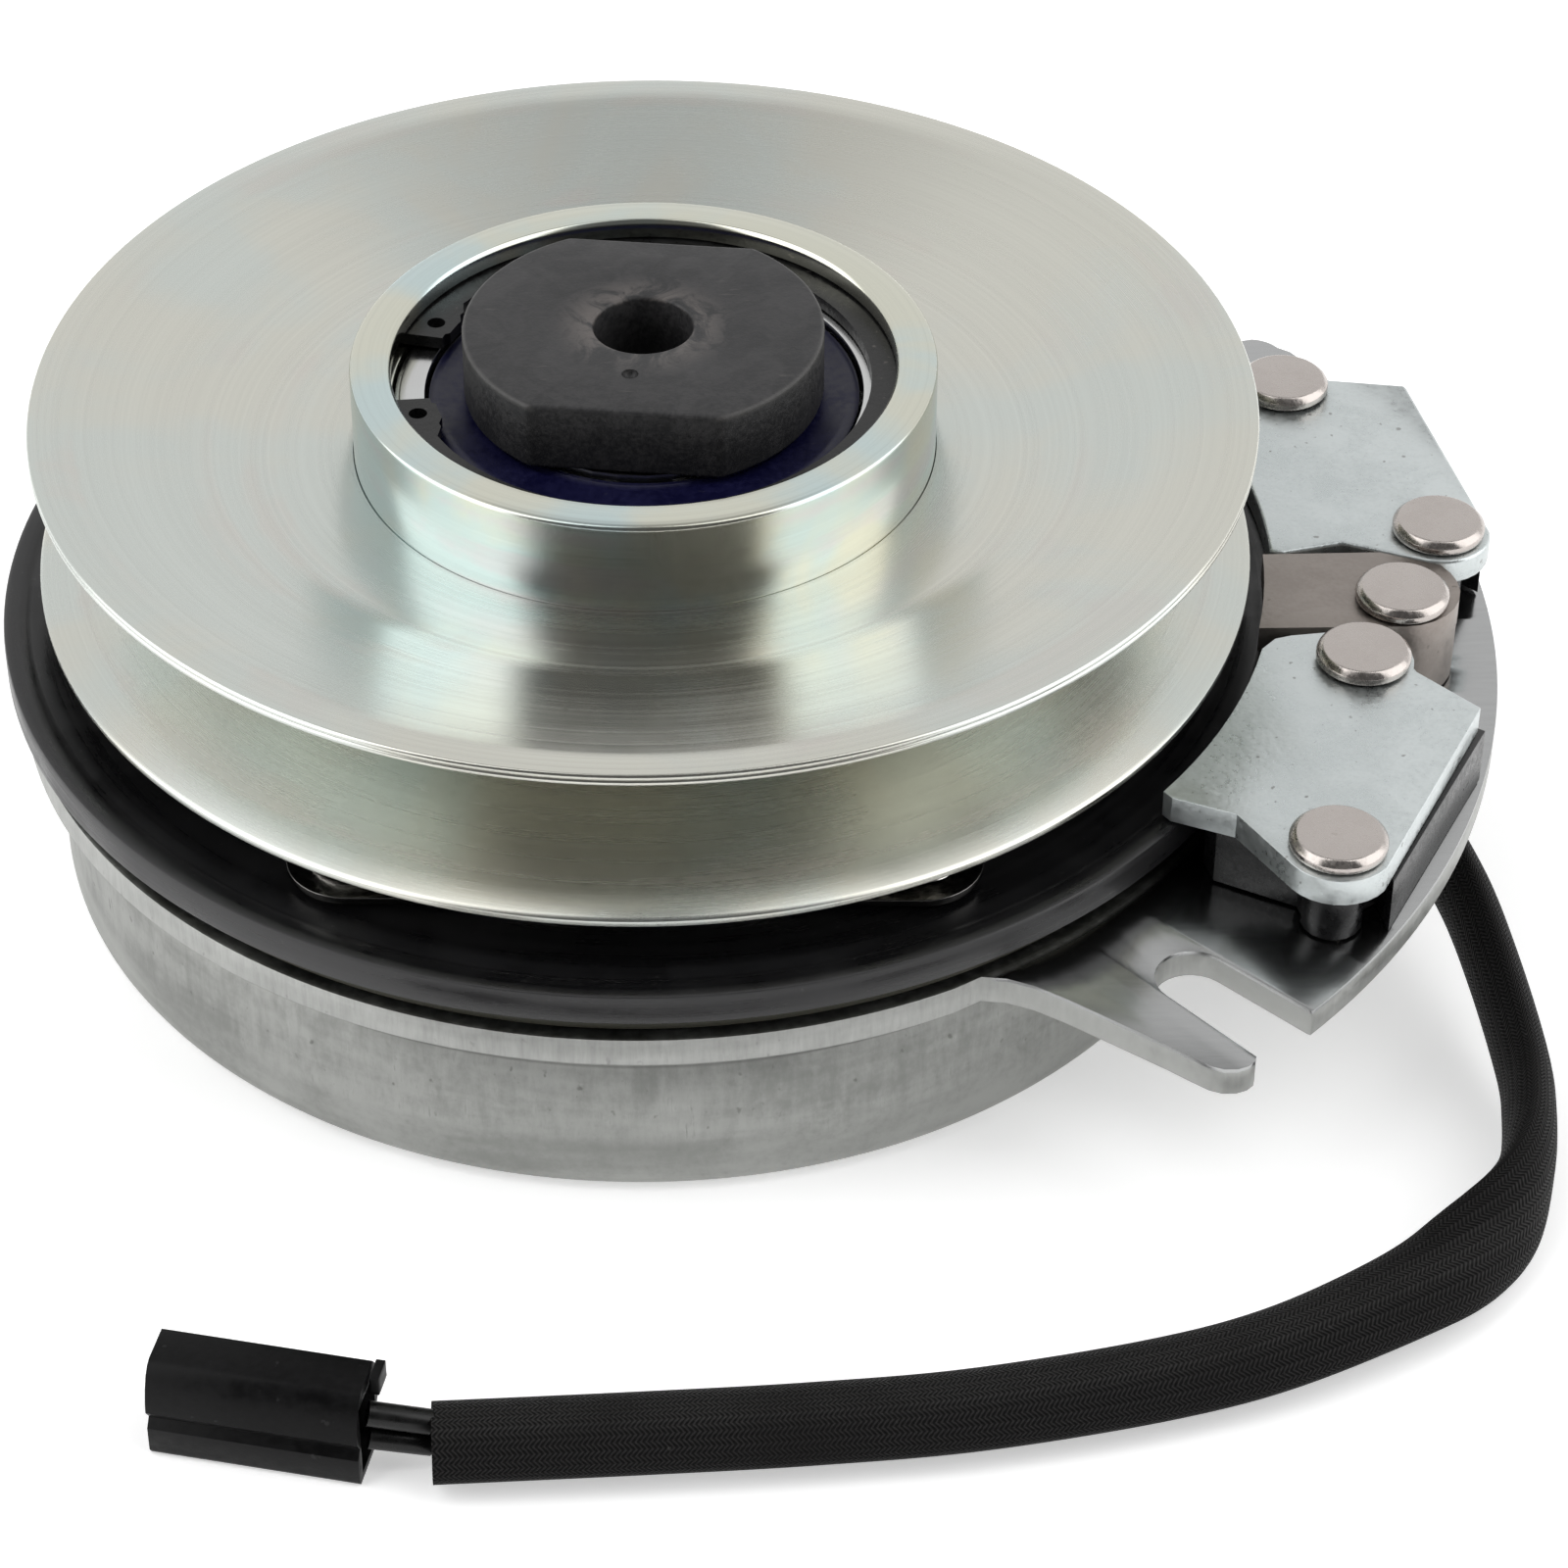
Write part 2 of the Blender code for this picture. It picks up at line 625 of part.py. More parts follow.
def connector_point(along, across, height):
    a = math.radians(CONNECTOR_TURN)
    x = CONNECTOR_AT[0] + along * math.cos(a) - across * math.sin(a)
    y = CONNECTOR_AT[1] + along * math.sin(a) + across * math.cos(a)
    return (x, y, height)


def lead():
    black = material("braided_sleeve", (0.02, 0.02, 0.02), 0.0, 0.9)
    grommet = [(0.0, 1.9), (5.0, 1.9), (5.0, 0.4), (3.5, 0.4), (3.5, -4.4), (0.0, -4.4)]
    ob = turned("lead_grommet", grommet, material("grommet_rubber", (0.02, 0.02, 0.02), 0.0, 0.7), SMALL)
    x, y = polar(WALL_R, LEAD_ANGLE)
    place(ob, x, y, LEAD_Z)
    ob.rotation_euler = (0.0, math.radians(90), math.radians(LEAD_ANGLE))
    tube("lead_sleeve", smooth_line(SLEEVE_ROUTE, SLEEVE_STEPS), SLEEVE_D, black)
    end = SLEEVE_ROUTE[-1]
    wire = material("wire_insulation", (0.02, 0.02, 0.02), 0.0, 0.4)
    for name, side in (("lead_wire_1", -1), ("lead_wire_2", 1)):
        target = connector_point(CONNECTOR_SIZE[0] / 2 + 0.5, -0.6, 6.3 + side * 1.8)
        start = (end[0] - 0.5, end[1] + 1.4, 4.3 + side * 1.7)
        middle = ((start[0] + target[0]) / 2, (start[1] + target[1]) / 2 - 0.1, (start[2] + target[2]) / 2)
        tube(name, [start, middle, target], WIRE_D, wire)


def connector():
    """A two-way housing lying on its edge, grooved along both sides."""
    length, depth, height = CONNECTOR_SIZE
    d = depth / 2
    dip = 0.7
    side = [(d - 0.4, 0.0), (d, 0.4), (d, CONNECTOR_VALLEY - dip), (d - dip, CONNECTOR_VALLEY)]
    side += [(d, CONNECTOR_VALLEY + dip), (d, height - 0.5), (d - 0.5, height)]
    section = side + [(-y, z) for y, z in reversed(side)]
    mesh = bpy.data.meshes.new("connector_housing")
    count = len(section)
    verts = [(-length / 2 * MM, y * MM, z * MM) for y, z in section]
    verts += [(length / 2 * MM, y * MM, z * MM) for y, z in section]
    faces = [(i, (i + 1) % count, count + (i + 1) % count, count + i) for i in range(count)]
    faces.append(tuple(reversed(range(count))))
    faces.append(tuple(range(count, 2 * count)))
    mesh.from_pydata(verts, [], faces)
    work = bmesh.new()
    work.from_mesh(mesh)
    bmesh.ops.recalc_face_normals(work, faces=work.faces)
    work.to_mesh(mesh)
    work.free()
    ob = add("connector_housing", mesh, black_plastic())
    place(ob, CONNECTOR_AT[0], CONNECTOR_AT[1], 0.0, CONNECTOR_TURN)
    half = 3.1
    back = length / 2 - 8.0
    loop = [(-length, -half), (back, -half), (back, half), (-length, half)]
    for label, low, high in (("lower", 0.9, 5.7), ("upper", 6.9, height - 0.9)):
        cavity = flat("connector_cavity_" + label, [loop], low, high, None, cutters)
        place(cavity, CONNECTOR_AT[0], CONNECTOR_AT[1], 0.0, CONNECTOR_TURN)
        combine(ob, cavity, "DIFFERENCE")
    brass = material("terminal_brass", (0.7, 0.5, 0.2), 1.0, 0.3)
    tip = -length / 2 + 6.0
    root = back - 0.4
    loop = [(tip, -1.6), (root, -1.6), (root, 1.6), (tip, 1.6)]
    for i, mid in enumerate((3.3, 9.3)):
        blade = flat("connector_terminal_%d" % (i + 1), [loop], mid - 0.4, mid + 0.4, brass)
        place(blade, CONNECTOR_AT[0], CONNECTOR_AT[1], 0.0, CONNECTOR_TURN)
    loop = [(0.3, -1.6), (1.3, -1.6), (1.3, 1.6), (0.3, 1.6)]
    latch = flat("connector_latch", [loop], 10.0, 12.2, black_plastic())
    x, y, z = connector_point(length / 2, 0.0, 0.0)
    place(latch, x, y, 0.0, CONNECTOR_TURN)


def shade():
    """Round walls are shaded smooth and corners stay sharp."""
    bpy.context.view_layer.update()
    graph = bpy.context.evaluated_depsgraph_get()
    for ob in parts.objects:
        if ob.type == "MESH":
            mesh = bpy.data.meshes.new_from_object(ob.evaluated_get(graph))
            mesh.shade_smooth()
            mesh.set_sharp_from_angle(angle=math.radians(35))
            mesh.name = ob.name
            ob.modifiers.clear()
            ob.data = mesh


def build():
    clear_scene()
    field_shell()
    inner_pole()
    coil()
    field_bearing()
    brake_bank("front", 0.0)
    brake_bank("rear", BANK_TURN)
    centre_pole()
    brake_pins()
    rotor()
    bearing_spacer()
    nose_hub()
    pulley_bearing()
    pulley()
    armature()
    leaf_springs()
    lead()
    connector()
    shade()


build()
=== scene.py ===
import json
import math

import bmesh
import bpy
from mathutils import Matrix, Vector


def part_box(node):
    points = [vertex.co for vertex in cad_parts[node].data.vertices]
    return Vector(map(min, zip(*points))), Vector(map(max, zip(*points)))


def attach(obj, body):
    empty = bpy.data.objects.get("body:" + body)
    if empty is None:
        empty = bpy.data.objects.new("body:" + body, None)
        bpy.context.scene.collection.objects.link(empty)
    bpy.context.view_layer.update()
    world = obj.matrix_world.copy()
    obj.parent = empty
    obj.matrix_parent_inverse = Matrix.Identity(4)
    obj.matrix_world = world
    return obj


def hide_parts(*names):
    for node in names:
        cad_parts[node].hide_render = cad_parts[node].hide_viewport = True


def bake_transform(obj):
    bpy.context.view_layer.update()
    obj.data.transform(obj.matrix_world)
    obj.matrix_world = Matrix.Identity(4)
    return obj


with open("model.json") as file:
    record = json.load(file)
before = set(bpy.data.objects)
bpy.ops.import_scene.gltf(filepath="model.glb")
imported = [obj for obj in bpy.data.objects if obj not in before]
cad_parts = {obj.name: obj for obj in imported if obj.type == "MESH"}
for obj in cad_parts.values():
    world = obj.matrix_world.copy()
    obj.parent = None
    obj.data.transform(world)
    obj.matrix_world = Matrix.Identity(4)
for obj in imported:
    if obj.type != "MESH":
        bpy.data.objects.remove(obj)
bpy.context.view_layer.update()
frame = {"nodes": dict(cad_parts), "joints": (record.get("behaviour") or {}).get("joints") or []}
nodes = frame["nodes"]
mm = 0.001
shaft = Vector(frame["joints"][0]["pos_m"])  # every round piece turns about this line
axisX = shaft.x / mm
axisY = shaft.y / mm
print("frame loaded:", len(nodes), "nodes")


camera = {"inFront": 484.3, "height": 391.5, "pitch": 38.85, "yaw": 2.083, "roll": 0.314, "lens": 107.68}


def makeCamera():
    turn = Matrix.Rotation(math.radians(-camera["yaw"]), 4, "Z")
    turn = turn @ Matrix.Rotation(math.radians(90 - camera["pitch"]), 4, "X")
    turn = turn @ Matrix.Rotation(math.radians(camera["roll"]), 4, "Z")
    place = (shaft.x, shaft.y - camera["inFront"] * mm, camera["height"] * mm)
    bpy.ops.object.camera_add(location=place, rotation=turn.to_euler())
    cam = bpy.context.object
    cam.data.lens = camera["lens"]
    cam.data.sensor_width = 36
    cam.data.clip_start = 0.01
    cam.data.clip_end = 20
    bpy.context.scene.camera = cam


makeCamera()
print("camera placed")


class Link:  # wraps one socket, so that shader sums read as sums
    def __init__(self, tree, socket=None):
        self.tree = tree
        self.socket = socket

    def node(self, kind, settings=None, out=0, sockets=None):
        made = self.tree.nodes.new(kind)
        for key, value in (settings or {}).items():
            setattr(made, key, value)
        for key, value in (sockets or {}).items():
            if isinstance(value, Link):
                self.tree.links.new(value.socket, made.inputs[key])
            else:
                made.inputs[key].default_value = value
        return Link(self.tree, made.outputs[out])

    def maths(self, operation, first, second=0.0):
        return self.node("ShaderNodeMath", {"operation": operation}, 0, {0: first, 1: second})

    def __add__(self, other):
        return self.maths("ADD", self, other)

    def __radd__(self, other):
        return self.maths("ADD", other, self)

    def __sub__(self, other):
        return self.maths("SUBTRACT", self, other)

    def __rsub__(self, other):
        return self.maths("SUBTRACT", other, self)

    def __mul__(self, other):
        return self.maths("MULTIPLY", self, other)

    def __rmul__(self, other):
        return self.maths("MULTIPLY", other, self)

    def __pow__(self, other):
        return self.maths("POWER", self, other)


class Patterns:  # the patterns that the finishes below and the studio's walls are mixed from
    def __init__(self, tree):
        self.link = Link(tree)

    def place(self, stretch=(1, 1, 1)):  # millimetres from the shaft
        where = self.link.node("ShaderNodeTexCoord", out="Object")
        scale = tuple(s / mm for s in stretch)
        shift = (-axisX * stretch[0], -axisY * stretch[1], 0)
        return self.link.node("ShaderNodeMapping", out=0, sockets={0: where, 1: shift, 3: scale})

    def split(self, vector):
        made = self.link.node("ShaderNodeSeparateXYZ", out=0, sockets={0: vector})
        node = made.socket.node
        return [Link(self.link.tree, node.outputs[i]) for i in range(3)]

    def join(self, x, y, z):
        return self.link.node("ShaderNodeCombineXYZ", out=0, sockets={0: x, 1: y, 2: z})

    def polar(self):  # distance from the shaft, angle about it, and height
        x, y, z = self.split(self.place())
        radius = (x * x + y * y) ** 0.5
        return radius, self.link.maths("ARCTAN2", y, x), z

    def noise(self, vector, scale, detail=3.0, rough=0.55, warp=0.0):
        return self.link.node("ShaderNodeTexNoise", None, 0, {
            "Vector": vector, "Scale": scale, "Detail": detail, "Roughness": rough, "Distortion": warp})

    def cells(self, vector, scale):
        sockets = {"Vector": vector, "Scale": scale}
        return self.link.node("ShaderNodeTexVoronoi", {"feature": "F1"}, 0, sockets)

    def level(self, factor, low, high, outLow=0.0, outHigh=1.0):
        return self.link.node("ShaderNodeMapRange", {"interpolation_type": "SMOOTHSTEP"}, 0, {
            0: factor, 1: low, 2: high, 3: outLow, 4: outHigh})

    def mix(self, factor, first, second, blend="MIX"):
        pair = [c if isinstance(c, Link) else (*c, 1.0) for c in (first, second)]
        return self.link.node("ShaderNodeMix", {"data_type": "RGBA", "blend_type": blend}, 2, {
            0: factor, 6: pair[0], 7: pair[1]})


class Paint(Patterns):  # one material
    def __init__(self, name, **fixed):
        self.material = bpy.data.materials.new(name)
        self.material.use_nodes = True
        super().__init__(self.material.node_tree)
        self.shader = self.material.node_tree.nodes["Principled BSDF"]
        for key, value in fixed.items():
            self.shader.inputs[key.replace("_", " ")].default_value = value

    def feed(self, socket, value):
        self.link.tree.links.new(value.socket, self.shader.inputs[socket])

    def bump(self, height, strength, distance):
        normal = self.link.node("ShaderNodeBump", None, 0, {
            "Height": height, "Strength": strength, "Distance": distance})
        self.feed("Normal", normal)


def turnedMetal(name, warm, cool, pink, roughness, lines, patina=0.5):
    paint = Paint(name, Metallic=1.0, Anisotropic=0.55, Anisotropic_Rotation=0.25)
    radius, angle, height = paint.polar()
    east = paint.link.maths("COSINE", angle)
    north = paint.link.maths("SINE", angle)
    sweep = paint.join(east * 2.2, north * 2.2, height * 0.05)
    broad = paint.noise(sweep, 0.9, 2.0)
    rings = paint.noise(paint.join(radius * 1.6, height * 1.6, 0.0), 1.0, 4.0, 0.7)
    bands = paint.noise(paint.join(radius * 0.16, height * 0.3, 0.0), 1.0, 2.0)
    spots = paint.noise(paint.place(), 0.035, 4.0, 0.6, 0.6)
    tone = paint.mix(paint.level(broad + (spots - 0.5) * 0.7, 0.38, 0.62), warm, cool)
    tone = paint.mix(paint.level(spots + (bands - 0.5) * 0.8, 0.56, 0.74) * patina, tone, pink)
    tone = paint.mix((rings - 0.5) * 0.34 + 0.16, tone, (0.33, 0.33, 0.31))
    paint.feed("Base Color", tone)
    worn = rings + (spots - 0.5) * 0.6
    paint.feed("Roughness", paint.level(worn, 0.2, 0.8, roughness - 0.06, roughness + 0.07))
    paint.bump(rings, lines, 0.00006)
    return paint.material


def rawShellSteel():
    paint = Paint("rawShellSteel", Metallic=1.0)
    radius, angle, height = paint.polar()
    where = paint.place()
    drawn = paint.noise(paint.join(angle * 46.0, height * 0.14, radius * 0.06), 1.0, 4.0, 0.65)
    fine = paint.noise(paint.join(angle * 160.0, height * 0.22, radius * 0.1), 1.0, 2.0)
    cloud = paint.noise(where, 0.06, 5.0, 0.62, 0.5)
    bands = paint.noise(paint.join(angle * 1.6, height * 0.16, 0.0), 1.0, 3.0, 0.6, 0.3)
    grain = paint.noise(where, 0.9, 3.0, 0.6)
    brushed = paint.noise(paint.place(stretch=(0.1, 1.0, 1.0)), 1.4, 3.0, 0.6)
    flange = paint.level(radius, 80.4, 81.2) * paint.level(height, 27.2, 27.7)
    wall = paint.level(radius, 80.9, 80.3) * paint.level(height, 5.0, 11.0)
    mottled = cloud * 0.55 + bands * 0.45 + (grain - 0.5) * 0.3 + (drawn - 0.5) * wall * 0.35
    tone = paint.mix(paint.level(mottled, 0.33, 0.66), (0.235, 0.24, 0.228), (0.38, 0.385, 0.37))
    scratches = paint.level(drawn * 0.6 + fine * 0.4, 0.585, 0.70) * wall
    marks = paint.noise(paint.join(angle * 60.0, height * 0.5, 0.0), 1.0, 2.0, 0.4)
    pits = paint.level(marks, 0.68, 0.78) * wall
    tone = paint.mix(scratches * paint.level(bands, 0.42, 0.62) * 0.6, tone, (0.10, 0.10, 0.095))
    tone = paint.mix(pits * 0.5, tone, (0.06, 0.058, 0.052))
    trimmed = paint.level(height, 24.1, 24.4) * paint.level(radius, 79.7, 80.0) * (1.0 - flange)
    tone = paint.mix(trimmed * (0.5 - fine * 0.4), tone, (0.62, 0.625, 0.61))
    # painted shade: a thin dark line painted round the wall along its small drawn step near 20.2 mm,
    # standing in for the shade that falls into the step
    creaseShade = paint.level(paint.link.maths("ABSOLUTE", height - 20.2 - bands * 0.4), 0.55, 0.15) * wall
    tone = paint.mix(creaseShade * 0.5, tone, (0.09, 0.09, 0.085))
    smoothTop = paint.mix(brushed, (0.37, 0.375, 0.375), (0.44, 0.445, 0.445))
    paint.feed("Base Color", paint.mix(flange, tone, smoothTop))
    rough = paint.level(grain + (cloud - 0.5), 0.25, 0.8, 0.42, 0.6)
    paint.feed("Roughness", rough - flange * (rough - 0.18 - brushed * 0.06))
    relief = (drawn * 0.6 + fine * 0.4) * wall + grain * 0.35
    paint.bump(relief * (1.0 - flange) + brushed * flange * 0.15, 0.3, 0.00015)
    return paint.material


def blackCoat(name, colour, worn, roughness, wearFrom, wearTo, wearAmount=0.5, metallic=0.1):
    paint = Paint(name, Metallic=metallic)
    radius, angle, height = paint.polar()
    where = paint.place()
    rings = paint.noise(paint.join(radius * 1.3, height * 1.3, angle * 0.4), 1.0, 3.0, 0.6)
    cloud = paint.noise(where, 0.07, 4.0, 0.6, 0.4)
    dust = paint.level(paint.noise(where, 1.1, 2.0, 0.5), 0.68, 0.80)
    edge = paint.level(radius + (cloud - 0.5) * 0.6, wearFrom, wearTo)
    tone = paint.mix(paint.level(rings + (cloud - 0.5), 0.3, 0.75), colour, tuple(c * 1.9 for c in colour))
    tone = paint.mix(edge * wearAmount, tone, worn)
    tone = paint.mix(dust * 0.12, tone, (0.2, 0.19, 0.18))
    paint.feed("Base Color", tone)
    dull = rings + (cloud - 0.5) * 1.2
    paint.feed("Roughness", paint.level(dull, 0.2, 0.8, roughness - 0.1, roughness + 0.12))
    paint.bump(rings * 0.6 + cloud * 0.4, 0.18, 0.00012)
    return paint.material


def noseCharcoal():
    paint = Paint("noseCharcoal", Metallic=0.1)
    radius, _, height = paint.polar()
    where = paint.place()
    grain = paint.noise(where, 1.6, 3.0, 0.65)
    cloud = paint.noise(where, 0.16, 5.0, 0.68, 1.1)
    onTop = paint.level(height, 73.2, 73.8)
    rub = paint.level(radius + (cloud - 0.5) * 9.0, 12.5, 6.6) * onTop
    streaks = paint.noise(paint.place(stretch=(0.12, 0.9, 1)), 1.2, 3.0, 0.7)
    scratch = paint.level(streaks, 0.66, 0.74) * onTop
    rim = paint.level(radius, 21.7, 22.2) * paint.level(height, 73.0, 73.6)
    mottled = paint.level(grain + (cloud - 0.5), 0.3, 0.75)
    tone = paint.mix(mottled, (0.014, 0.014, 0.015), (0.034, 0.033, 0.034))
    tone = paint.mix(rub * paint.level(cloud, 0.42, 0.62) * 0.6, tone, (0.16, 0.14, 0.13))
    tone = paint.mix(scratch * 0.35, tone, (0.12, 0.11, 0.105))
    tone = paint.mix(rim * 0.3, tone, (0.11, 0.105, 0.1))
    paint.feed("Base Color", tone)
    paint.feed("Roughness", paint.level(grain, 0.2, 0.8, 0.42, 0.62))
    paint.bump(grain + cloud * 0.8, 0.3, 0.00015)
    return paint.material


def speckledPlate(name, low, high, fleck, roughness, metallic=0.95, flecked=0.8):
    paint = Paint(name, Metallic=metallic)
    where = paint.place()
    cloud = paint.noise(where, 0.12, 5.0, 0.65, 0.6)
    grain = paint.noise(where, 1.3, 3.0, 0.6)
    flecks = paint.level(paint.noise(where, 0.8, 2.0, 0.45), 0.70, 0.76)
    fine = paint.cells(where, 1.5)
    tone = paint.mix(paint.level(cloud + (grain - 0.5) * 0.6, 0.3, 0.7), low, high)
    tone = paint.mix(paint.level(fine, 0.0, 0.35, 0.15, 0.0), tone, tuple(0.75 * c for c in low))
    tone = paint.mix(flecks * flecked, tone, fleck)
    paint.feed("Base Color", tone)
    dull = cloud + (grain - 0.5)
    paint.feed("Roughness", paint.level(dull, 0.25, 0.8, roughness - 0.08, roughness + 0.1))
    paint.bump(grain * 0.6 + fine * 0.3 + cloud * 0.5, 0.3, 0.00012)
    return paint.material


def moulded(name, colour, roughness, grainSize=1.2, bump=0.25, shine=0.3):
    paint = Paint(name, Specular_IOR_Level=shine)
    where = paint.place()
    grain = paint.noise(where, grainSize, 3.0, 0.6)
    cloud = paint.noise(where, 0.09, 4.0, 0.6, 0.5)
    dust = paint.level(paint.noise(where, 0.9, 2.0, 0.4), 0.70, 0.78)
    mottled = grain + (cloud - 0.5)
    tone = paint.mix(paint.level(mottled, 0.3, 0.75), colour, tuple(1.5 * c + 0.001 for c in colour))
    tone = paint.mix(dust * 0.12, tone, tuple(c + 0.1 for c in colour))
    paint.feed("Base Color", tone)
    paint.feed("Roughness", paint.level(mottled, 0.2, 0.8, roughness - 0.08, roughness + 0.1))
    paint.bump(grain + cloud, bump, 0.0001)
    return paint.material


def windings():
    paint = Paint("copperWinding", Metallic=0.8, Coat_Weight=0.4)
    _, _, height = paint.polar()
    turns = paint.link.maths("SINE", height * 7.8) * 0.5 + 0.5
    cloud = paint.noise(paint.place(), 0.12, 3.0)
    paint.feed("Base Color", paint.mix(turns * 0.6 + cloud * 0.4, (0.22, 0.07, 0.025), (0.55, 0.22, 0.1)))
    paint.feed("Roughness", paint.level(cloud, 0.2, 0.8, 0.28, 0.45))
    paint.bump(turns, 0.6, 0.0002)
    return paint.material


def wovenSleeve():
    paint = Paint("wovenSleeve", Specular_IOR_Level=0.12)
    uv = paint.link.node("ShaderNodeTexCoord", out="UV")
    along, around, _ = paint.split(uv)
    chevron = paint.link.maths("PINGPONG", around, 0.62)  # millimetres round the tube
    yarn = paint.link.maths("SINE", (along + chevron * 1.2) * 10.5) * 0.5 + 0.5
    rib = paint.link.maths("SINE", around * 10.13) * 0.5 + 0.5
    weave = yarn * 0.72 + rib * 0.28
    side = paint.link.maths("PINGPONG", around - lead["girth"] / 4, lead["girth"] / 2)
    # painted highlight: bands along the sleeve at four places round it are painted lighter, standing in for
    # the lit band along the flattened tube
    crestSheen = paint.level(paint.link.maths("PINGPONG", side, lead["girth"] / 4), 2.4, 0.5)
    lint = paint.level(paint.noise(paint.place(), 0.7, 2.0, 0.4), 0.73, 0.79)
    cloud = paint.noise(paint.place(), 0.06, 4.0, 0.6)
    tone = paint.mix(paint.level(weave, 0.2, 0.95), (0.0016, 0.0016, 0.0016), (0.019, 0.018, 0.018))
    tone = paint.mix(crestSheen * weave * 0.5, tone, (0.045, 0.044, 0.043))
    tone = paint.mix(paint.level(cloud, 0.4, 0.75) * 0.5, tone, (0.005, 0.0045, 0.0045))
    tone = paint.mix(lint * 0.2, tone, (0.1, 0.1, 0.095))
    paint.feed("Base Color", tone)
    paint.feed("Roughness", paint.level(weave, 0.0, 1.0, 0.75, 0.5))
    paint.bump(weave, 0.9, 0.0003)
    return paint.material


lead = {  # millimetres from the shaft; it stands on its edge behind the flange and lies flat in front
    "width": 11.8, "thick": 6.6, "ridge": 1.75, "ringPoints": 40, "perSpan": 10,
    "route": (
        (79.4, -14.0, 14.4), (88.8, -16.9, 14.4), (96.9, -25.6, 14.1), (101.0, -38.2, 13.4),
        (103.5, -51.3, 10.9), (105.3, -64.8, 7.4), (105.0, -72.7, 6.4), (103.5, -81.0, 6.0),
        (100.6, -88.2, 5.7), (94.9, -94.6, 5.3), (87.5, -100.2, 4.9), (72.0, -108.1, 4.4),
        (57.2, -112.8, 4.2), (35.9, -116.8, 4.1), (17.0, -118.5, 4.1), (-2.3, -119.4, 4.1),
        (-25.8, -120.2, 4.1),
    ),
    "uprightUntil": 6, "flatFrom": 11, "girth": 24.0,
}

finishes = {
    "zinc": turnedMetal(
        "zincPulley", (0.66, 0.655, 0.59), (0.62, 0.655, 0.62), (0.66, 0.60, 0.55), 0.25, 0.12, 0.4),
    "zincHub": turnedMetal(
        "zincHub", (0.68, 0.68, 0.58), (0.57, 0.68, 0.68), (0.65, 0.59, 0.62), 0.16, 0.08, 0.5),
    "shell": rawShellSteel(),
    "armature": blackCoat(
        "armatureBlack", (0.005, 0.005, 0.0055), (0.07, 0.068, 0.07), 0.34, 80.6, 81.6, 0.2),
    "rotor": blackCoat("rotorOlive", (0.010, 0.010, 0.007), (0.06, 0.058, 0.04), 0.42, 77.5, 79.0, 0.5, 0.4),
    "nose": noseCharcoal(),
    "ground": turnedMetal(
        "groundSteel", (0.6, 0.6, 0.6), (0.62, 0.63, 0.63), (0.58, 0.58, 0.57), 0.2, 0.05, 0.2),
    "machined": speckledPlate(
        "machinedSteel", (0.42, 0.42, 0.4), (0.56, 0.56, 0.54), (0.15, 0.14, 0.12), 0.35),
    "polePlate": speckledPlate(
        "polePlateZinc", (0.54, 0.58, 0.58), (0.64, 0.68, 0.68), (0.14, 0.13, 0.12), 0.34, 0.9, 0.6),
    "sintered": speckledPlate(
        "sinteredIron", (0.26, 0.23, 0.21), (0.34, 0.305, 0.28), (0.12, 0.1, 0.09), 0.42, 0.9, 0.5),
    "pin": speckledPlate(
        "pinNickel", (0.47, 0.43, 0.405), (0.51, 0.47, 0.445), (0.4, 0.36, 0.33), 0.26, 1.0, 0.5),
    "rivet": speckledPlate(
        "rivetZinc", (0.56, 0.55, 0.52), (0.70, 0.69, 0.66), (0.35, 0.33, 0.3), 0.16, 1.0, 0.4),
    "springSteel": speckledPlate(
        "springSteel", (0.15, 0.145, 0.14), (0.2, 0.195, 0.19), (0.1, 0.09, 0.08), 0.16, 1.0, 0.2),
    "snapRing": speckledPlate(
        "snapRingDark", (0.012, 0.012, 0.012), (0.026, 0.026, 0.026), (0.1, 0.09, 0.085), 0.34, 0.4),
    "ferrite": moulded("ferriteMagnet", (0.03, 0.03, 0.032), 0.5, 2.0, 0.4),
    "holder": moulded("holderPlastic", (0.005, 0.005, 0.0055), 0.3, 1.2, 0.25, 0.4),
    "connector": moulded("connectorNylon", (0.003, 0.003, 0.0032), 0.4, 0.8, 0.3, 0.12),
    "sealNavy": moulded("sealNavy", (0.003, 0.003, 0.024), 0.4, 1.0, 0.15, 0.35),
    "sealBlack": moulded("sealBlack", (0.006, 0.006, 0.006), 0.5),
    "rubber": moulded("grommetRubber", (0.006, 0.006, 0.006), 0.6),
    "bobbin": moulded("bobbinNylon", (0.6, 0.54, 0.4), 0.5),
    "potting": moulded("pottingResin", (0.012, 0.022, 0.014), 0.3),
    "friction": moulded("frictionLining", (0.09, 0.075, 0.055), 0.85, 2.4, 0.7),
    "wire": moulded("wireInsulation", (0.004, 0.004, 0.004), 0.3, 0.6, 0.1),
    "brass": speckledPlate(
        "terminalBrass", (0.6, 0.44, 0.18), (0.75, 0.57, 0.28), (0.3, 0.2, 0.08), 0.25, 1.0),
    "copper": windings(),
    "sleeve": wovenSleeve(),
}
print("finishes made:", len(finishes))


def pick(piece):
    bpy.ops.object.select_all(action="DESELECT")
    piece.select_set(True)
    bpy.context.view_layer.objects.active = piece


def applyAll(piece):
    pick(piece)
    for modifier in list(piece.modifiers):
        bpy.ops.object.modifier_apply(modifier=modifier.name)
    bpy.ops.object.transform_apply(location=True, rotation=True, scale=True)


def faceOut(piece):
    pick(piece)
    bpy.ops.object.mode_set(mode="EDIT")
    bpy.ops.mesh.select_all(action="SELECT")
    bpy.ops.mesh.remove_doubles(threshold=0.000002)
    bpy.ops.mesh.normals_make_consistent(inside=False)
    bpy.ops.object.mode_set(mode="OBJECT")


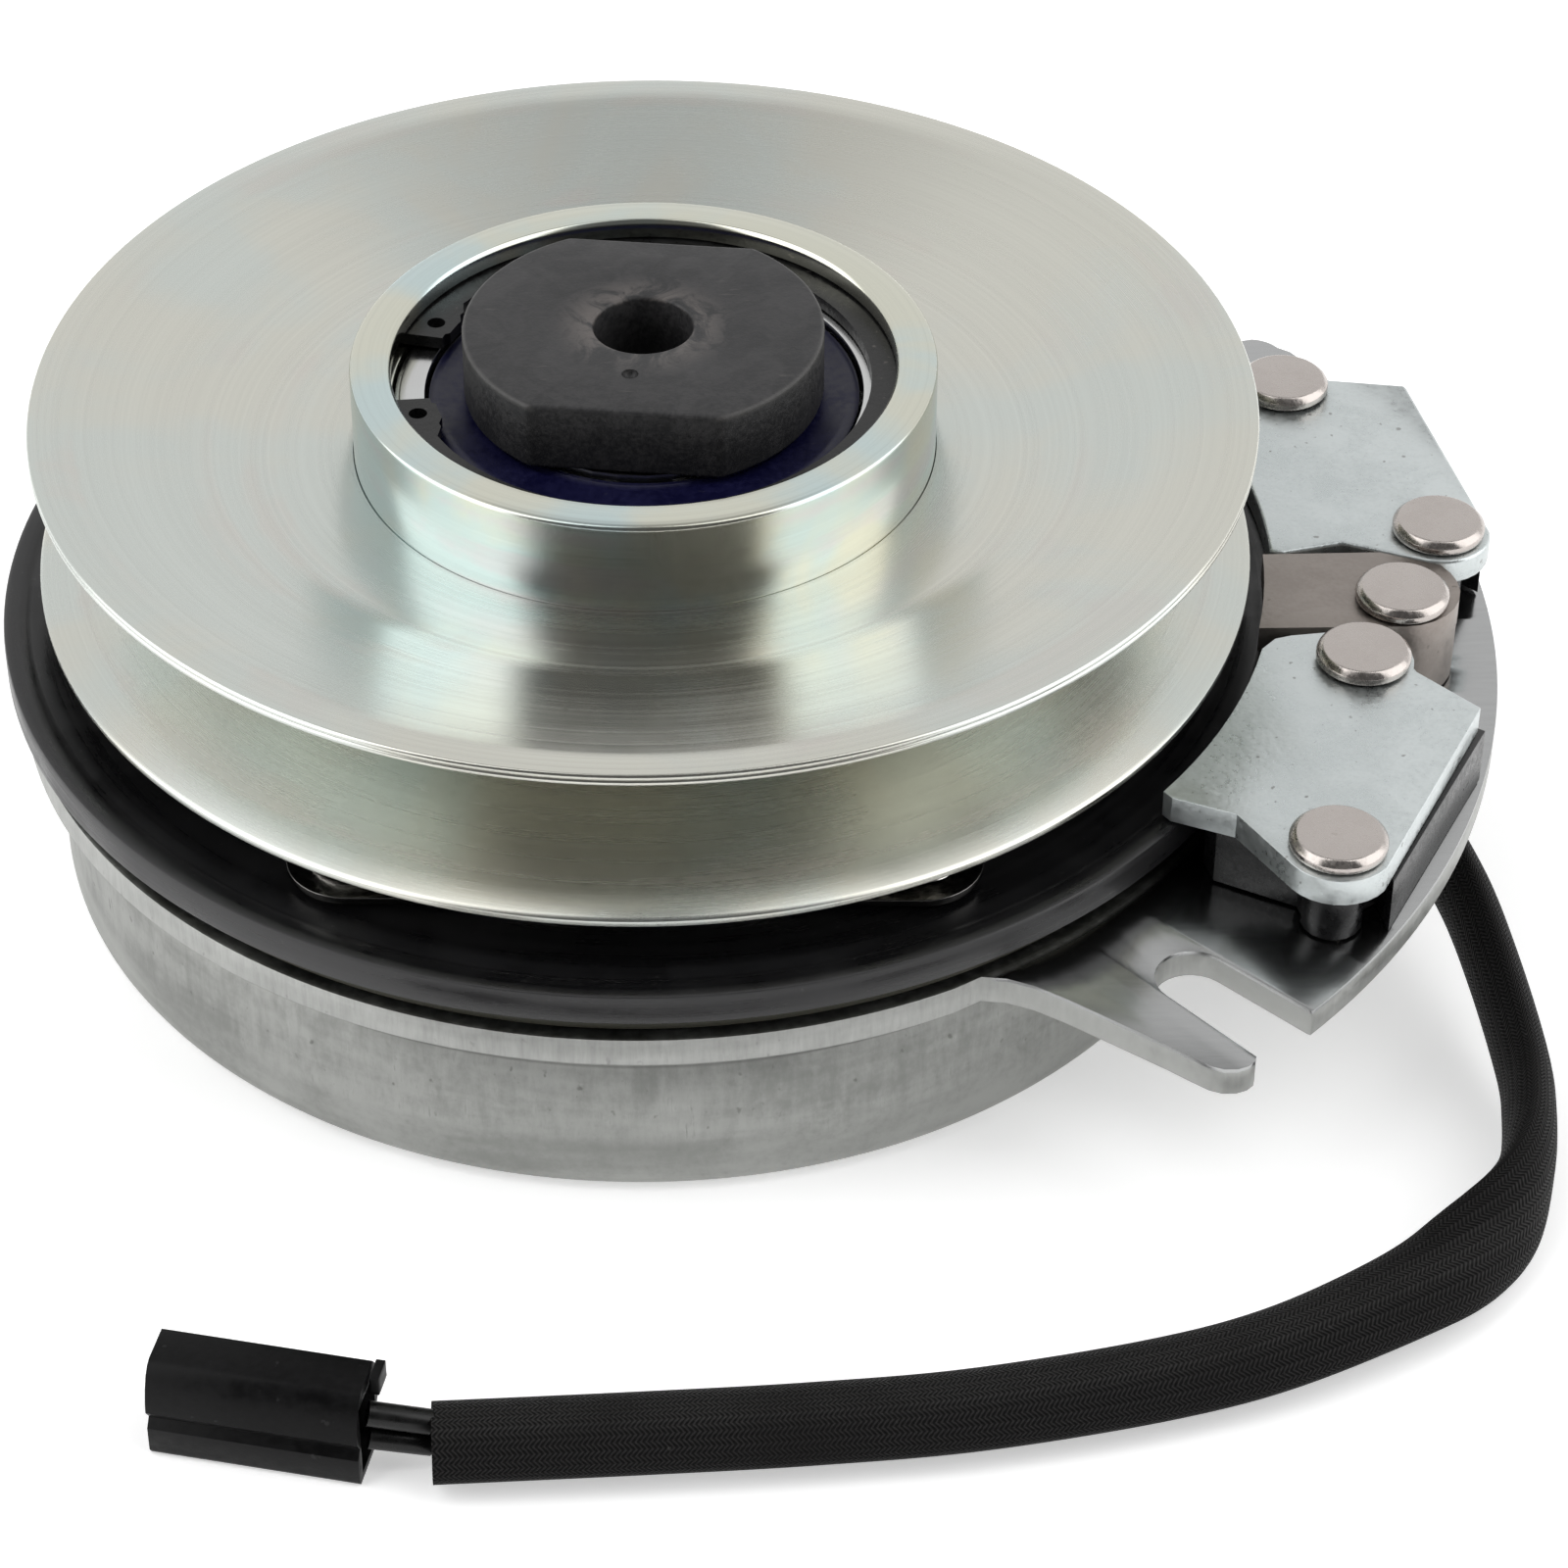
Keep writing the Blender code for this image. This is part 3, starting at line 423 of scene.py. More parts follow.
def bevelEdges(piece, width, segments=3, angle=30.0):
    modifier = piece.modifiers.new("edges", "BEVEL")
    modifier.width = width * mm
    modifier.segments = segments
    modifier.limit_method = "ANGLE"
    modifier.angle_limit = math.radians(angle)
    modifier.harden_normals = False
    applyAll(piece)


def cutWith(piece, tool, operation="DIFFERENCE"):
    modifier = piece.modifiers.new("cut", "BOOLEAN")
    modifier.operation = operation
    modifier.solver = "EXACT"
    modifier.object = tool
    applyAll(piece)
    bpy.data.objects.remove(tool, do_unlink=True)


def finish(piece, finishName, slotName, body, *replaced, smooth=32.0):
    pick(piece)
    bpy.ops.object.shade_smooth_by_angle(angle=math.radians(smooth))
    piece.data.materials.clear()
    piece.data.materials.append(finishes[finishName])
    if replaced:
        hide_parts(*replaced)
    if body:
        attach(piece, body)
    return piece


def turnPiece(name, profile, segments=192, x=0.0, y=0.0):
    # one ring is extruded, scaled and moved round the profile, then bridged to where it began
    place = ((axisX + x) * mm, (axisY + y) * mm, 0.0)
    atAxis = profile[0][0] == 0.0
    rings = profile[1:-1] if atAxis else profile
    radius, height = rings[0]
    start = (*place[:2], height * mm)
    bpy.ops.mesh.primitive_circle_add(vertices=segments, radius=radius * mm, location=start)
    piece = bpy.context.object
    piece.name = name
    bpy.ops.object.transform_apply(location=True, rotation=True, scale=True)
    bpy.ops.object.mode_set(mode="EDIT")
    bpy.ops.mesh.select_all(action="SELECT")
    if atAxis:
        bpy.ops.mesh.edge_face_add()
    for nextRadius, nextHeight in rings[1:]:
        rise = (0, 0, (nextHeight - height) * mm)
        bpy.ops.mesh.extrude_region_move(TRANSFORM_OT_translate={"value": rise})
        if nextRadius != radius:
            grow = nextRadius / radius
            centre = (*place[:2], nextHeight * mm)
            bpy.ops.transform.resize(value=(grow, grow, 1), center_override=centre)
        radius, height = nextRadius, nextHeight
    if not atAxis:
        mesh = bmesh.from_edit_mesh(piece.data)
        for edge in mesh.edges:
            if edge.is_boundary:
                edge.select_set(True)
        mesh.select_flush(True)
        bmesh.update_edit_mesh(piece.data)
        bpy.ops.mesh.bridge_edge_loops()
    bpy.ops.object.mode_set(mode="OBJECT")
    faceOut(piece)
    return piece


def arcPoints(cx, cy, r, start, end, steps):
    turn = [math.radians(start + (end - start) * i / steps) for i in range(steps + 1)]
    return [(cx + r * math.cos(a), cy + r * math.sin(a)) for a in turn]


def spinPoints(points, degrees):
    c = math.cos(math.radians(degrees))
    s = math.sin(math.radians(degrees))
    return [(x * c - y * s, x * s + y * c) for x, y in points]


def onCircle(angle, radius):
    return spinPoints([(radius, 0)], angle)[0]


def cutSheet(name, loops, low, high, middleX=axisX, middleY=axisY):
    # a flat outline with its holes, as thick as the sheet
    curve = bpy.data.curves.new(name, "CURVE")
    curve.dimensions = "2D"
    curve.fill_mode = "BOTH"
    curve.extrude = (high - low) / 2 * mm
    for loop in loops:
        spline = curve.splines.new("POLY")
        spline.points.add(len(loop) - 1)
        for point, (x, y) in zip(spline.points, loop):
            point.co = ((middleX + x) * mm, (middleY + y) * mm, 0, 1)
        spline.use_cyclic_u = True
    piece = bpy.data.objects.new(name, curve)
    bpy.context.scene.collection.objects.link(piece)
    piece.location.z = (low + high) / 2 * mm
    pick(piece)
    bpy.ops.object.convert(target="MESH")
    bpy.ops.object.transform_apply(location=True, rotation=True, scale=True)
    faceOut(piece)
    return piece


def rodTool(x, y, radius, low, high, segments=48):
    middle = ((axisX + x) * mm, (axisY + y) * mm, (low + high) / 2 * mm)
    bpy.ops.mesh.primitive_cylinder_add(
        vertices=segments, radius=radius * mm, depth=(high - low) * mm, location=middle)
    return bpy.context.object


def copyPiece(piece, name, place):
    # a copy with its own mesh, put in its place
    twin = piece.copy()
    twin.data = piece.data.copy()
    twin.name = name
    bpy.context.scene.collection.objects.link(twin)
    twin.matrix_world = place
    applyAll(twin)
    return twin


def threeRound(first, stem):
    # the piece and two copies of it, a third of a turn apart about the shaft
    pieces = [first]
    for index in (1, 2):
        turn = Matrix.Rotation(math.radians(120 * index), 4, "Z")
        place = Matrix.Translation(shaft) @ turn @ Matrix.Translation(-shaft)
        pieces.append(copyPiece(first, stem + str(index + 1), place))
    return pieces


def copyNode(node, name):
    # a CAD node's own shape, merged and with its flat faces joined, ready for rounded edges
    source = nodes[node]
    piece = bpy.data.objects.new(name, source.data.copy())
    bpy.context.scene.collection.objects.link(piece)
    pick(piece)
    bpy.ops.object.mode_set(mode="EDIT")
    bpy.ops.mesh.select_all(action="SELECT")
    bpy.ops.mesh.remove_doubles(threshold=0.000005)
    bpy.ops.mesh.dissolve_limited(angle_limit=math.radians(1.0))
    bpy.ops.object.mode_set(mode="OBJECT")
    return piece


def roundOf(node):
    # radius, lowest and highest level of a round node, in millimetres
    low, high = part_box(node)
    return (high.x - low.x) / 2 / mm, low.z / mm, high.z / mm


rivets = {
    "circle": 67.5, "onPulley": (-122.0, -2.0, 118.0), "onArmature": (-62.0, 58.0, 178.0),
    "onPulleyShape": (
        (0, 43.9), (2.4, 43.9), (2.4, 41.6), (4.4, 41.6), (4.7, 41.2), (4.7, 38.0), (4.4, 37.6), (2.4, 37.6),
        (2.4, 35.9), (4.2, 35.9), (4.0, 35.0), (3.2, 34.2), (1.8, 33.9), (0, 33.9),
    ),
    "onArmatureShape": (
        (0, 39.9), (1.2, 39.88), (2.2, 39.65), (3.2, 39.15), (4.0, 38.4), (4.5, 37.6), (2.4, 37.6),
        (2.4, 31.8),
        (0, 31.8),
    ),
}

pulley = {
    "sheaveBore": 36.42, "coneInner": 49.6, "dishLevel": 57.2, "lipWidth": 4.6, "lipLevel": 63.72,
    "flangeRadius": 48.4, "slope": ((71.4, 44.5), (72.4, 44.15)), "rivetPocket": (2.8, 38.0, 43.95),
    "hubRadius": 36.33, "hubChamfer": 0.7, "hubStep": (50.7, 54.4), "lowBore": (28.6, 48.4),
    "boreRadius": 31.3, "grooveRadius": 33.0, "groove": (64.7, 66.9),
}


def makeUpperSheave():
    rim, low, top = roundOf("sheave_upper")
    cone = pulley["coneInner"]
    bore = pulley["sheaveBore"]
    dish = pulley["dishLevel"]
    lip = rim - pulley["lipWidth"]
    lipLevel = pulley["lipLevel"]
    profile = [  # the rim with its fine groove, and the underside in to the bore
        (rim - 0.25, top), (rim, top - 0.25), (rim, top - 0.62), (rim - 0.22, top - 0.78), (rim, top - 0.94),
        (rim, top - 1.35), (rim - 0.5, top - 1.75), (lip - 0.6, 61.2), (cone + 0.4, low), (bore, low),
    ]
    profile += [  # the dish back out to the flat lip
        (bore, dish), (cone - 2.2, dish), (cone - 0.6, dish + 0.15), (cone + 0.8, dish + 0.55),
        (lip - 1.0, lipLevel - 0.32), (lip, lipLevel), (lip + 0.9, top - 0.06), (lip + 1.6, top),
    ]
    sheave = turnPiece("upperSheave", profile)
    bevelEdges(sheave, 0.12, 2)
    finish(sheave, "zinc", "zinc", "pulley", "sheave_upper")


def makeLowerSheave():
    rim, low, top = roundOf("sheave_lower")
    bore = pulley["sheaveBore"]
    flange = pulley["flangeRadius"]
    profile = [
        (rim, low + 0.9), (rim, low + 0.2), (rim - 0.25, low), (bore, low), (bore, top), (flange, top),
        (flange + 1.0, top - 0.25), *pulley["slope"], (rim - 0.5, 43.15),
    ]
    sheave = turnPiece("lowerSheave", profile)
    for angle in rivets["onPulley"]:
        x, y = onCircle(angle, rivets["circle"])
        cutWith(sheave, rodTool(x, y, *pulley["rivetPocket"], 32))
    bevelEdges(sheave, 0.12, 2)
    finish(sheave, "zinc", "zinc", "pulley", "sheave_lower")


def makeHub():
    widest, low, top = roundOf("pulley_hub")
    outer = pulley["hubRadius"]
    bore = pulley["boreRadius"]
    chamfer = pulley["hubChamfer"]
    stepLow, stepTop = pulley["hubStep"]
    grooveLow, grooveTop = pulley["groove"]
    lowBore, shoulder = pulley["lowBore"]
    profile = [
        (outer - chamfer, top), (outer - 0.15, top - 0.25), (outer, top - 0.7), (outer, stepTop),
        (widest, stepTop),
        (widest, stepLow), (outer, stepLow), (outer, low), (lowBore, low), (lowBore, shoulder),
        (bore, shoulder),
        (bore, grooveLow), (pulley["grooveRadius"], grooveLow), (pulley["grooveRadius"], grooveTop),
        (bore, grooveTop), (bore, top - 0.5), (bore + 0.5, top),
    ]
    hub = turnPiece("pulleyHub", profile)
    bevelEdges(hub, 0.15, 2)
    finish(hub, "zincHub", "zinc", "pulley", "pulley_hub")


makeUpperSheave()
makeLowerSheave()
makeHub()
print("pulley turned")


nose = {
    "radius": 22.3, "underside": 65.0, "neck": 15.0, "bore": 12.75, "boreTop": 64.6, "holeRadius": 6.15,
    "flatTurn": -7.6, "flatHalf": 18.95, "edge": 0.5, "dimple": (-1.7, -10.8, 1.05),
}


def makeNose():
    _, low, top = roundOf("nose_hub")
    radius = nose["radius"]
    under = nose["underside"]
    profile = [
        (radius, top), (radius, under), (nose["neck"], under), (nose["neck"], low), (nose["bore"], low),
        (nose["bore"], nose["boreTop"]), (nose["holeRadius"], nose["boreTop"]), (nose["holeRadius"], top),
    ]
    head = turnPiece("noseHub", profile)
    pick(head)
    for side in (-1, 1):  # the two flats for a spanner
        turn = math.radians(nose["flatTurn"] + 90 * side)
        out = Vector((math.cos(turn), math.sin(turn), 0))
        flat = shaft + out * nose["flatHalf"] * mm
        bpy.ops.object.mode_set(mode="EDIT")
        bpy.ops.mesh.select_all(action="SELECT")
        bpy.ops.mesh.bisect(plane_co=flat, plane_no=out, use_fill=True, clear_outer=True)
        bpy.ops.object.mode_set(mode="OBJECT")
    bevelEdges(head, nose["edge"], 3)
    x, y, size = nose["dimple"]
    middle = ((axisX + x) * mm, (axisY + y) * mm, (top + 0.15) * mm)
    bpy.ops.mesh.primitive_uv_sphere_add(segments=32, ring_count=16, radius=size * mm, location=middle)
    cutWith(head, bpy.context.object)
    faceOut(head)
    finish(head, "nose", "nose_phosphate", "drive", "nose_hub")


def makeSeal(name, node, finishName, slotName, up):
    # a steel-cored lip seal, with a moulded ridge and an inner lip
    low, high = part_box(node)
    face = high.z / mm if up else low.z / mm
    back = low.z / mm if up else high.z / mm
    outer = (high.x - low.x) / 2 / mm
    inner = outer - (7.2 if up else 5.6)
    s = 1 if up else -1
    profile = [
        (outer, face - 0.25 * s), (outer, back), (inner, back), (inner, face - 0.35 * s),
        (inner + 0.7, face - 0.2 * s), (inner + 1.1, face - 0.42 * s), (inner + 1.6, face - 0.42 * s),
        (inner + 1.9, face - 0.16 * s), (outer - 1.6, face - 0.1 * s), (outer - 1.3, face),
        (outer - 0.5, face),
    ]
    seal = turnPiece(name, profile, 128)
    finish(seal, finishName, slotName, "pulley" if "pulley" in node else "root", node)


snapRing = {"halfGap": 13.5, "eye": 1.15, "eyeTurn": 7.0}


def makeSnapRing(name, node, body, outer, inner, lugs, gap):
    # an open ring with a drilled lug on each side of its gap; lugs is the radius that they reach in to
    low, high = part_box(node)
    half = snapRing["halfGap"]
    loop = arcPoints(0, 0, outer, gap + half, gap + 360 - half, 96)
    loop += arcPoints(0, 0, lugs + 0.5, gap - half - 1, gap - half - 3, 2)
    loop += arcPoints(0, 0, lugs, gap - half - 4, gap - half - 10.5, 5)
    loop += arcPoints(0, 0, lugs + 0.8, gap - half - 13, gap - half - 14.5, 2)
    loop += arcPoints(0, 0, inner, gap - half - 18, gap - 360 + half + 18, 80)
    loop += arcPoints(0, 0, lugs + 0.8, gap + half + 14.5, gap + half + 13, 2)
    loop += arcPoints(0, 0, lugs, gap + half + 10.5, gap + half + 4, 5)
    loop += arcPoints(0, 0, lugs + 0.5, gap + half + 3, gap + half + 1, 2)
    eyes = []
    for side in (-1, 1):
        x, y = onCircle(gap + side * (half + snapRing["eyeTurn"]), (outer + lugs) / 2 - 0.6)
        eyes.append(arcPoints(x, y, snapRing["eye"], 345, 0, 23))
    ring = cutSheet(name, [loop] + eyes, low.z / mm, high.z / mm)
    bevelEdges(ring, 0.22, 2)
    finish(ring, "snapRing", "snap_steel", body, node)


def makeBearingRing(name, node, body, outside, wall):
    radius, low, high = roundOf(node)
    inner = radius - wall
    if outside:  # rounded where it is pressed in, which is its outer edge
        profile = [
            (radius, high - 0.6), (radius, low + 0.6), (radius - 0.6, low), (inner, low), (inner, high),
            (radius - 0.6, high),
        ]
    else:
        profile = [
            (radius, high), (radius, low), (inner + 0.6, low), (inner, low + 0.6), (inner, high - 0.6),
            (inner + 0.6, high),
        ]
    ring = turnPiece(name, profile, 128)
    bevelEdges(ring, 0.2, 2)
    finish(ring, "ground", "bearing_steel", body, node)


makeNose()
makeSeal("pulleySealTop", "pulley_bearing_seal_top", "sealNavy", "seal_navy", True)
makeSeal("fieldSealLow", "field_bearing_seal_low", "sealBlack", "seal_black", False)
makeSnapRing("pulleySnapRing", "pulley_snap_ring", "pulley", 32.6, 28.2, 26.2, 175.0)
makeSnapRing("fieldSnapRing", "field_snap_ring", "root", 32.4, 28.4, 26.4, 90.0)
makeBearingRing("pulleyBearingOuter", "pulley_bearing_outer", "pulley", True, 3.8)
makeBearingRing("fieldBearingOuter", "field_bearing_outer", "root", True, 3.4)
makeBearingRing("fieldBearingInner", "field_bearing_inner", "drive", False, 3.5)
print("nose and bearings made")


shell = {
    "sheet": 3.8, "wall": 76.5, "lip": 80.2, "draw": 3.5, "bottomRound": 3.4, "innerRound": 1.5,
    "mouth": 38.0, "flange": 108.8, "top": 28.0, "pins": ((80.7, -61.4), (88.3, -25.5)),
    "centrePin": (94.8, -13.1), "bankTurn": 38.0, "pinHole": 2.6, "leadHole": (3.8, 20.0, -10.0, 14.4),
    "finger": (
        (38.4, -70.1), (41.4, -70.5), (44.6, -71.9), (48.2, -74.3), (52.0, -77.2), (55.8, -80.1),
        (59.2, -82.7),
        (62.0, -85.0), (63.8, -86.4), (65.3, -87.0), (66.9, -87.0), (68.2, -86.5), (69.0, -85.7),
        (69.2, -84.9),
    ),
    "slot": (63.5, -70.9, 4.75, 221, 49), "slotSide": (76.3, -77.0),
    "farEdge": ((80.0, 63.0), (73.0, 60.4), (66.0, 58.4), (60.0, 57.8), (55.2, 59.0)),
}


def shellSection():
    # one sheet drawn into a cup: flange, fillet, wall, floor, and back up the inside
    top = shell["top"]
    sheet = shell["sheet"]
    draw = shell["draw"]
    wall = shell["wall"]
    rounding = shell["bottomRound"]
    drawLevel = top - sheet - draw
    blank = shell["flange"] + 4
    section = [(blank, top), (blank, top - sheet)]
    section += arcPoints(wall + draw, drawLevel, draw, 90, 180, 8)
    section += [(wall - 0.32, drawLevel - 0.4), (wall - 0.34, drawLevel - 0.7)]
    section += [(wall - 0.05, drawLevel - 1.4)]
    section += [(wall, 14.0), (wall - 0.12, 10.5), (wall, 8.0)]
    section += arcPoints(wall - rounding, rounding, rounding, 0, -90, 8)
    section += [(shell["mouth"], 0.0), (shell["mouth"], sheet)]
    corner = sheet + shell["innerRound"]
    section += arcPoints(wall - corner, corner, shell["innerRound"], -90, 0, 4)
    section += arcPoints(wall + draw, drawLevel, draw + sheet, 180, 92, 8)
    return section


def flangeOutline():
    # a narrow lip most of the way round, the slotted finger, and the wide part that carries the brake
    x, y, radius, start, end = shell["slot"]
    outline = arcPoints(0, 0, shell["lip"], 52, 296, 140)
    outline += shell["finger"]
    outline += arcPoints(x, y, radius, start, end, 14)
    outline += [shell["slotSide"]]
    outline += arcPoints(0, 0, shell["flange"], -45.2, 34.0, 70)
    outline += arcPoints(84.6, 59.6, 4.6, 31, 82, 6)
    outline += shell["farEdge"]
    return outline


def makeShell():
    cup = turnPiece("fieldShell", shellSection(), 224)
    cutWith(cup, cutSheet("trimTool", [flangeOutline()], -4, 40), "INTERSECT")
    pins = list(shell["pins"]) + [shell["centrePin"]] + spinPoints(shell["pins"], shell["bankTurn"])
    for x, y in pins:
        cutWith(cup, rodTool(x, y, shell["pinHole"], 20, 32, 32))
    radius, depth, turn, height = shell["leadHole"]
    bpy.ops.mesh.primitive_cylinder_add(vertices=48, radius=radius * mm, depth=depth * mm)
    tool = bpy.context.object
    tool.rotation_euler = (0, math.radians(90), math.radians(turn))
    x, y = onCircle(turn, 75)
    tool.location = ((axisX + x) * mm, (axisY + y) * mm, height * mm)
    cutWith(cup, tool)
    faceOut(cup)
    bevelEdges(cup, 0.35, 2, 40.0)
    finish(cup, "shell", "shell_steel", "root", "field_shell", smooth=40.0)


makeShell()
print("field shell drawn and trimmed")


rotor = {
    "edge": 0.3, "low": 28.5, "wall": (69.0, 72.3), "floor": (18.8, 26.2), "inner": (38.2, 41.5),
    "innerLow": 22.9,
    "web": 27.0, "hub": 17.2, "bore": 12.75, "lining": (57.8, 66.2, 28.0), "slots": (50.6, 54.4, 15, 90),
    "keyway": ((3.175, 5.0), (3.175, 15.95), (-3.175, 15.95), (-3.175, 5.0)),
}


def makeRotor():
    radius, low, top = roundOf("rotor")
    edge = rotor["edge"]
    under = rotor["low"]
    wallIn, wallOut = rotor["wall"]
    wallLow, floor = rotor["floor"]
    ringIn, ringOut = rotor["inner"]
    liningIn, liningOut, liningLow = rotor["lining"]
    profile = [
        (radius - edge, top), (radius, top - edge), (radius, under + edge), (radius - edge, under),
        (wallOut, under),
        (wallOut, wallLow), (wallIn, wallLow), (wallIn, floor), (ringOut, floor),
        (ringOut, rotor["innerLow"]),
        (ringIn, rotor["innerLow"]), (ringIn, rotor["web"]), (rotor["hub"], rotor["web"]),
        (rotor["hub"], low),
        (rotor["bore"], low), (rotor["bore"], top), (liningIn, top), (liningIn, liningLow),
        (liningOut, liningLow),
        (liningOut, top),
    ]
    disc = turnPiece("rotorDisc", profile)
    slotIn, slotOut, first, sweep = rotor["slots"]
    for index in range(3):  # the slots that send the field through the armature
        start = 120 * index + first
        loop = arcPoints(0, 0, slotOut, start, start + sweep, 30)
        loop += arcPoints(0, 0, slotIn, start + sweep, start, 30)
        cutWith(disc, cutSheet("slotTool", [loop], 20, 36))
    cutWith(disc, cutSheet("keyTool", [rotor["keyway"]], -2, 40))
    bevelEdges(disc, 0.15, 2)
    finish(disc, "rotor", "rotor_steel", "drive", "rotor")


armature = {"bore": 40.0, "step": 78.2, "spacerHole": 5.8, "rivetHole": 2.9}


def makeArmature():
    radius, low, top = roundOf("armature")
    bore = armature["bore"]
    step = armature["step"]
    profile = [
        (radius - 0.5, top), (radius - 0.12, top - 0.14), (radius, top - 0.5), (radius, low + 0.5),
        (radius - 0.5, low), (bore, low), (bore, top - 0.3), (step, top - 0.3), (step + 0.5, top - 0.22),
        (step + 1.0, top - 0.02),
    ]
    plate = turnPiece("armaturePlate", profile, 224)
    for angles, size in ((rivets["onPulley"], "spacerHole"), (rivets["onArmature"], "rivetHole")):
        for angle in angles:
            x, y = onCircle(angle, rivets["circle"])
            cutWith(plate, rodTool(x, y, armature[size], 28, 40))
    bevelEdges(plate, 0.2, 2)
    finish(plate, "armature", "armature_black", "armature", "armature")


spring = {"end": 7.4, "hole": 2.65, "edge": 0.28, "stiffEnd": 6.0, "spans": (0.2, 0.4, 0.6, 0.8)}


def makeSprings():
    for index in range(3):
        fixed = onCircle(rivets["onPulley"][index], rivets["circle"])
        free = onCircle(rivets["onArmature"][index], rivets["circle"])
        heading = math.degrees(math.atan2(free[1] - fixed[1], free[0] - fixed[0]))
        sideX, sideY = onCircle(heading + 90, spring["end"])
        span = []
        for share in spring["spans"]:
            span.append((free[0] + (fixed[0] - free[0]) * share, free[1] + (fixed[1] - free[1]) * share))
        loop = arcPoints(*free, spring["end"], heading - 90, heading + 90, 20)
        loop += [(x + sideX, y + sideY) for x, y in span]
        loop += arcPoints(*fixed, spring["end"], heading + 90, heading + 270, 20)
        loop += [(x - sideX, y - sideY) for x, y in reversed(span)]
        holes = [arcPoints(*spot, spring["hole"], 345, 0, 23) for spot in (fixed, free)]
        node = "leaf_spring_%d" % (index + 1)
        low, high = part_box(node)
        leaf = cutSheet("leafSpring%d" % (index + 1), [loop] + holes, low.z / mm, high.z / mm)
        bevelEdges(leaf, spring["edge"], 3)
        finish(leaf, "springSteel", "spring_steel", None, node)
        ends = [Vector(((axisX + x) * mm, (axisY + y) * mm, low.z)) for x, y in (fixed, free)]
        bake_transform(leaf)


def makeRivets():
    x, y = onCircle(rivets["onPulley"][0], rivets["circle"])
    boss = turnPiece("pulleyRivet1", rivets["onPulleyShape"], 48, x, y)
    bevelEdges(boss, 0.15, 2)
    for index, piece in enumerate(threeRound(boss, "pulleyRivet"), 1):
        finish(piece, "rivet", "rivet_steel", "pulley", "pulley_rivet_%d" % index)
    x, y = onCircle(rivets["onArmature"][0], rivets["circle"])
    dome = turnPiece("armatureRivet1", rivets["onArmatureShape"], 48, x, y)
    for index, piece in enumerate(threeRound(dome, "armatureRivet"), 1):
        finish(piece, "rivet", "rivet_steel", "armature", "armature_rivet_%d" % index)


makeRotor()
makeArmature()
makeSprings()
makeRivets()
print("rotor, armature, springs and rivets made")


brake = {"plateEdge": 0.45, "holderEdge": 0.4, "magnetEdge": 0.5}


def makeBrake():
    for label in ("front", "rear"):
        plate = copyNode("brake_plate_" + label, "brakePlate_" + label)
        bevelEdges(plate, brake["plateEdge"], 3)
        finish(plate, "polePlate", "pole_plate", "root", "brake_plate_" + label)
        holder = copyNode("magnet_holder_" + label, "magnetHolder_" + label)
        bevelEdges(holder, brake["holderEdge"], 2)
        finish(holder, "holder", "holder_plastic", "root", "magnet_holder_" + label)
        magnet = copyNode("brake_magnet_" + label, "brakeMagnet_" + label)
        bevelEdges(magnet, brake["magnetEdge"], 2)
        finish(magnet, "ferrite", "ferrite", "root", "brake_magnet_" + label)
    pole = copyNode("brake_centre_pole", "brakeCentrePole")
    bevelEdges(pole, brake["plateEdge"], 3)
    finish(pole, "sintered", "sintered", "root", "brake_centre_pole")


pin = {"radius": 5.9, "chamfer": 0.75, "head": 1.7, "shank": 2.4}


def makePins():
    boxes = [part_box("brake_pin_%d" % (index + 1)) for index in range(5)]
    middles = [(low + high) / 2 for low, high in boxes]
    low = boxes[0][0].z / mm
    top = boxes[0][1].z / mm
    radius = pin["radius"]
    under = top - pin["head"]
    profile = [
        (0, top), (radius - pin["chamfer"], top), (radius - 0.1, top - 0.65), (radius, top - 0.9),
        (radius, under),
        (pin["shank"], under), (pin["shank"], low), (0, low),
    ]
    first = turnPiece("brakePin1", profile, 64, middles[0].x / mm - axisX, middles[0].y / mm - axisY)
    bevelEdges(first, 0.22, 3)
    pins = [first]
    for index, middle in enumerate(middles[1:], 2):
        pins.append(copyPiece(first, "brakePin%d" % index, Matrix.Translation(middle - middles[0])))
    for index, piece in enumerate(pins, 1):
        finish(piece, "pin", "pin_nickel", "root", "brake_pin_%d" % index)


makeBrake()
makePins()
print("brake made")


def smoothLine(points, perSpan):
    # a smooth curve through the points, with perSpan steps between two of them
    spots = [Vector(p) for p in points]
    spots = [spots[0]] + spots + [spots[-1]]
    line = []
    for before, here, there, after in zip(spots, spots[1:], spots[2:], spots[3:]):
        for step in range(perSpan):
            t = step / perSpan
            bend = 2 * before - 5 * here + 4 * there - after
            twist = 3 * here - before - 3 * there + after
            line.append(0.5 * (2 * here + (there - before) * t + bend * t ** 2 + twist * t ** 3))
    line.append(spots[-1])
    return line


def swell(share):
    # a round section's sine or cosine, drawn in to the ridged oval of the flattened tube
    return math.copysign(abs(share) ** (2 / lead["ridge"]), share)


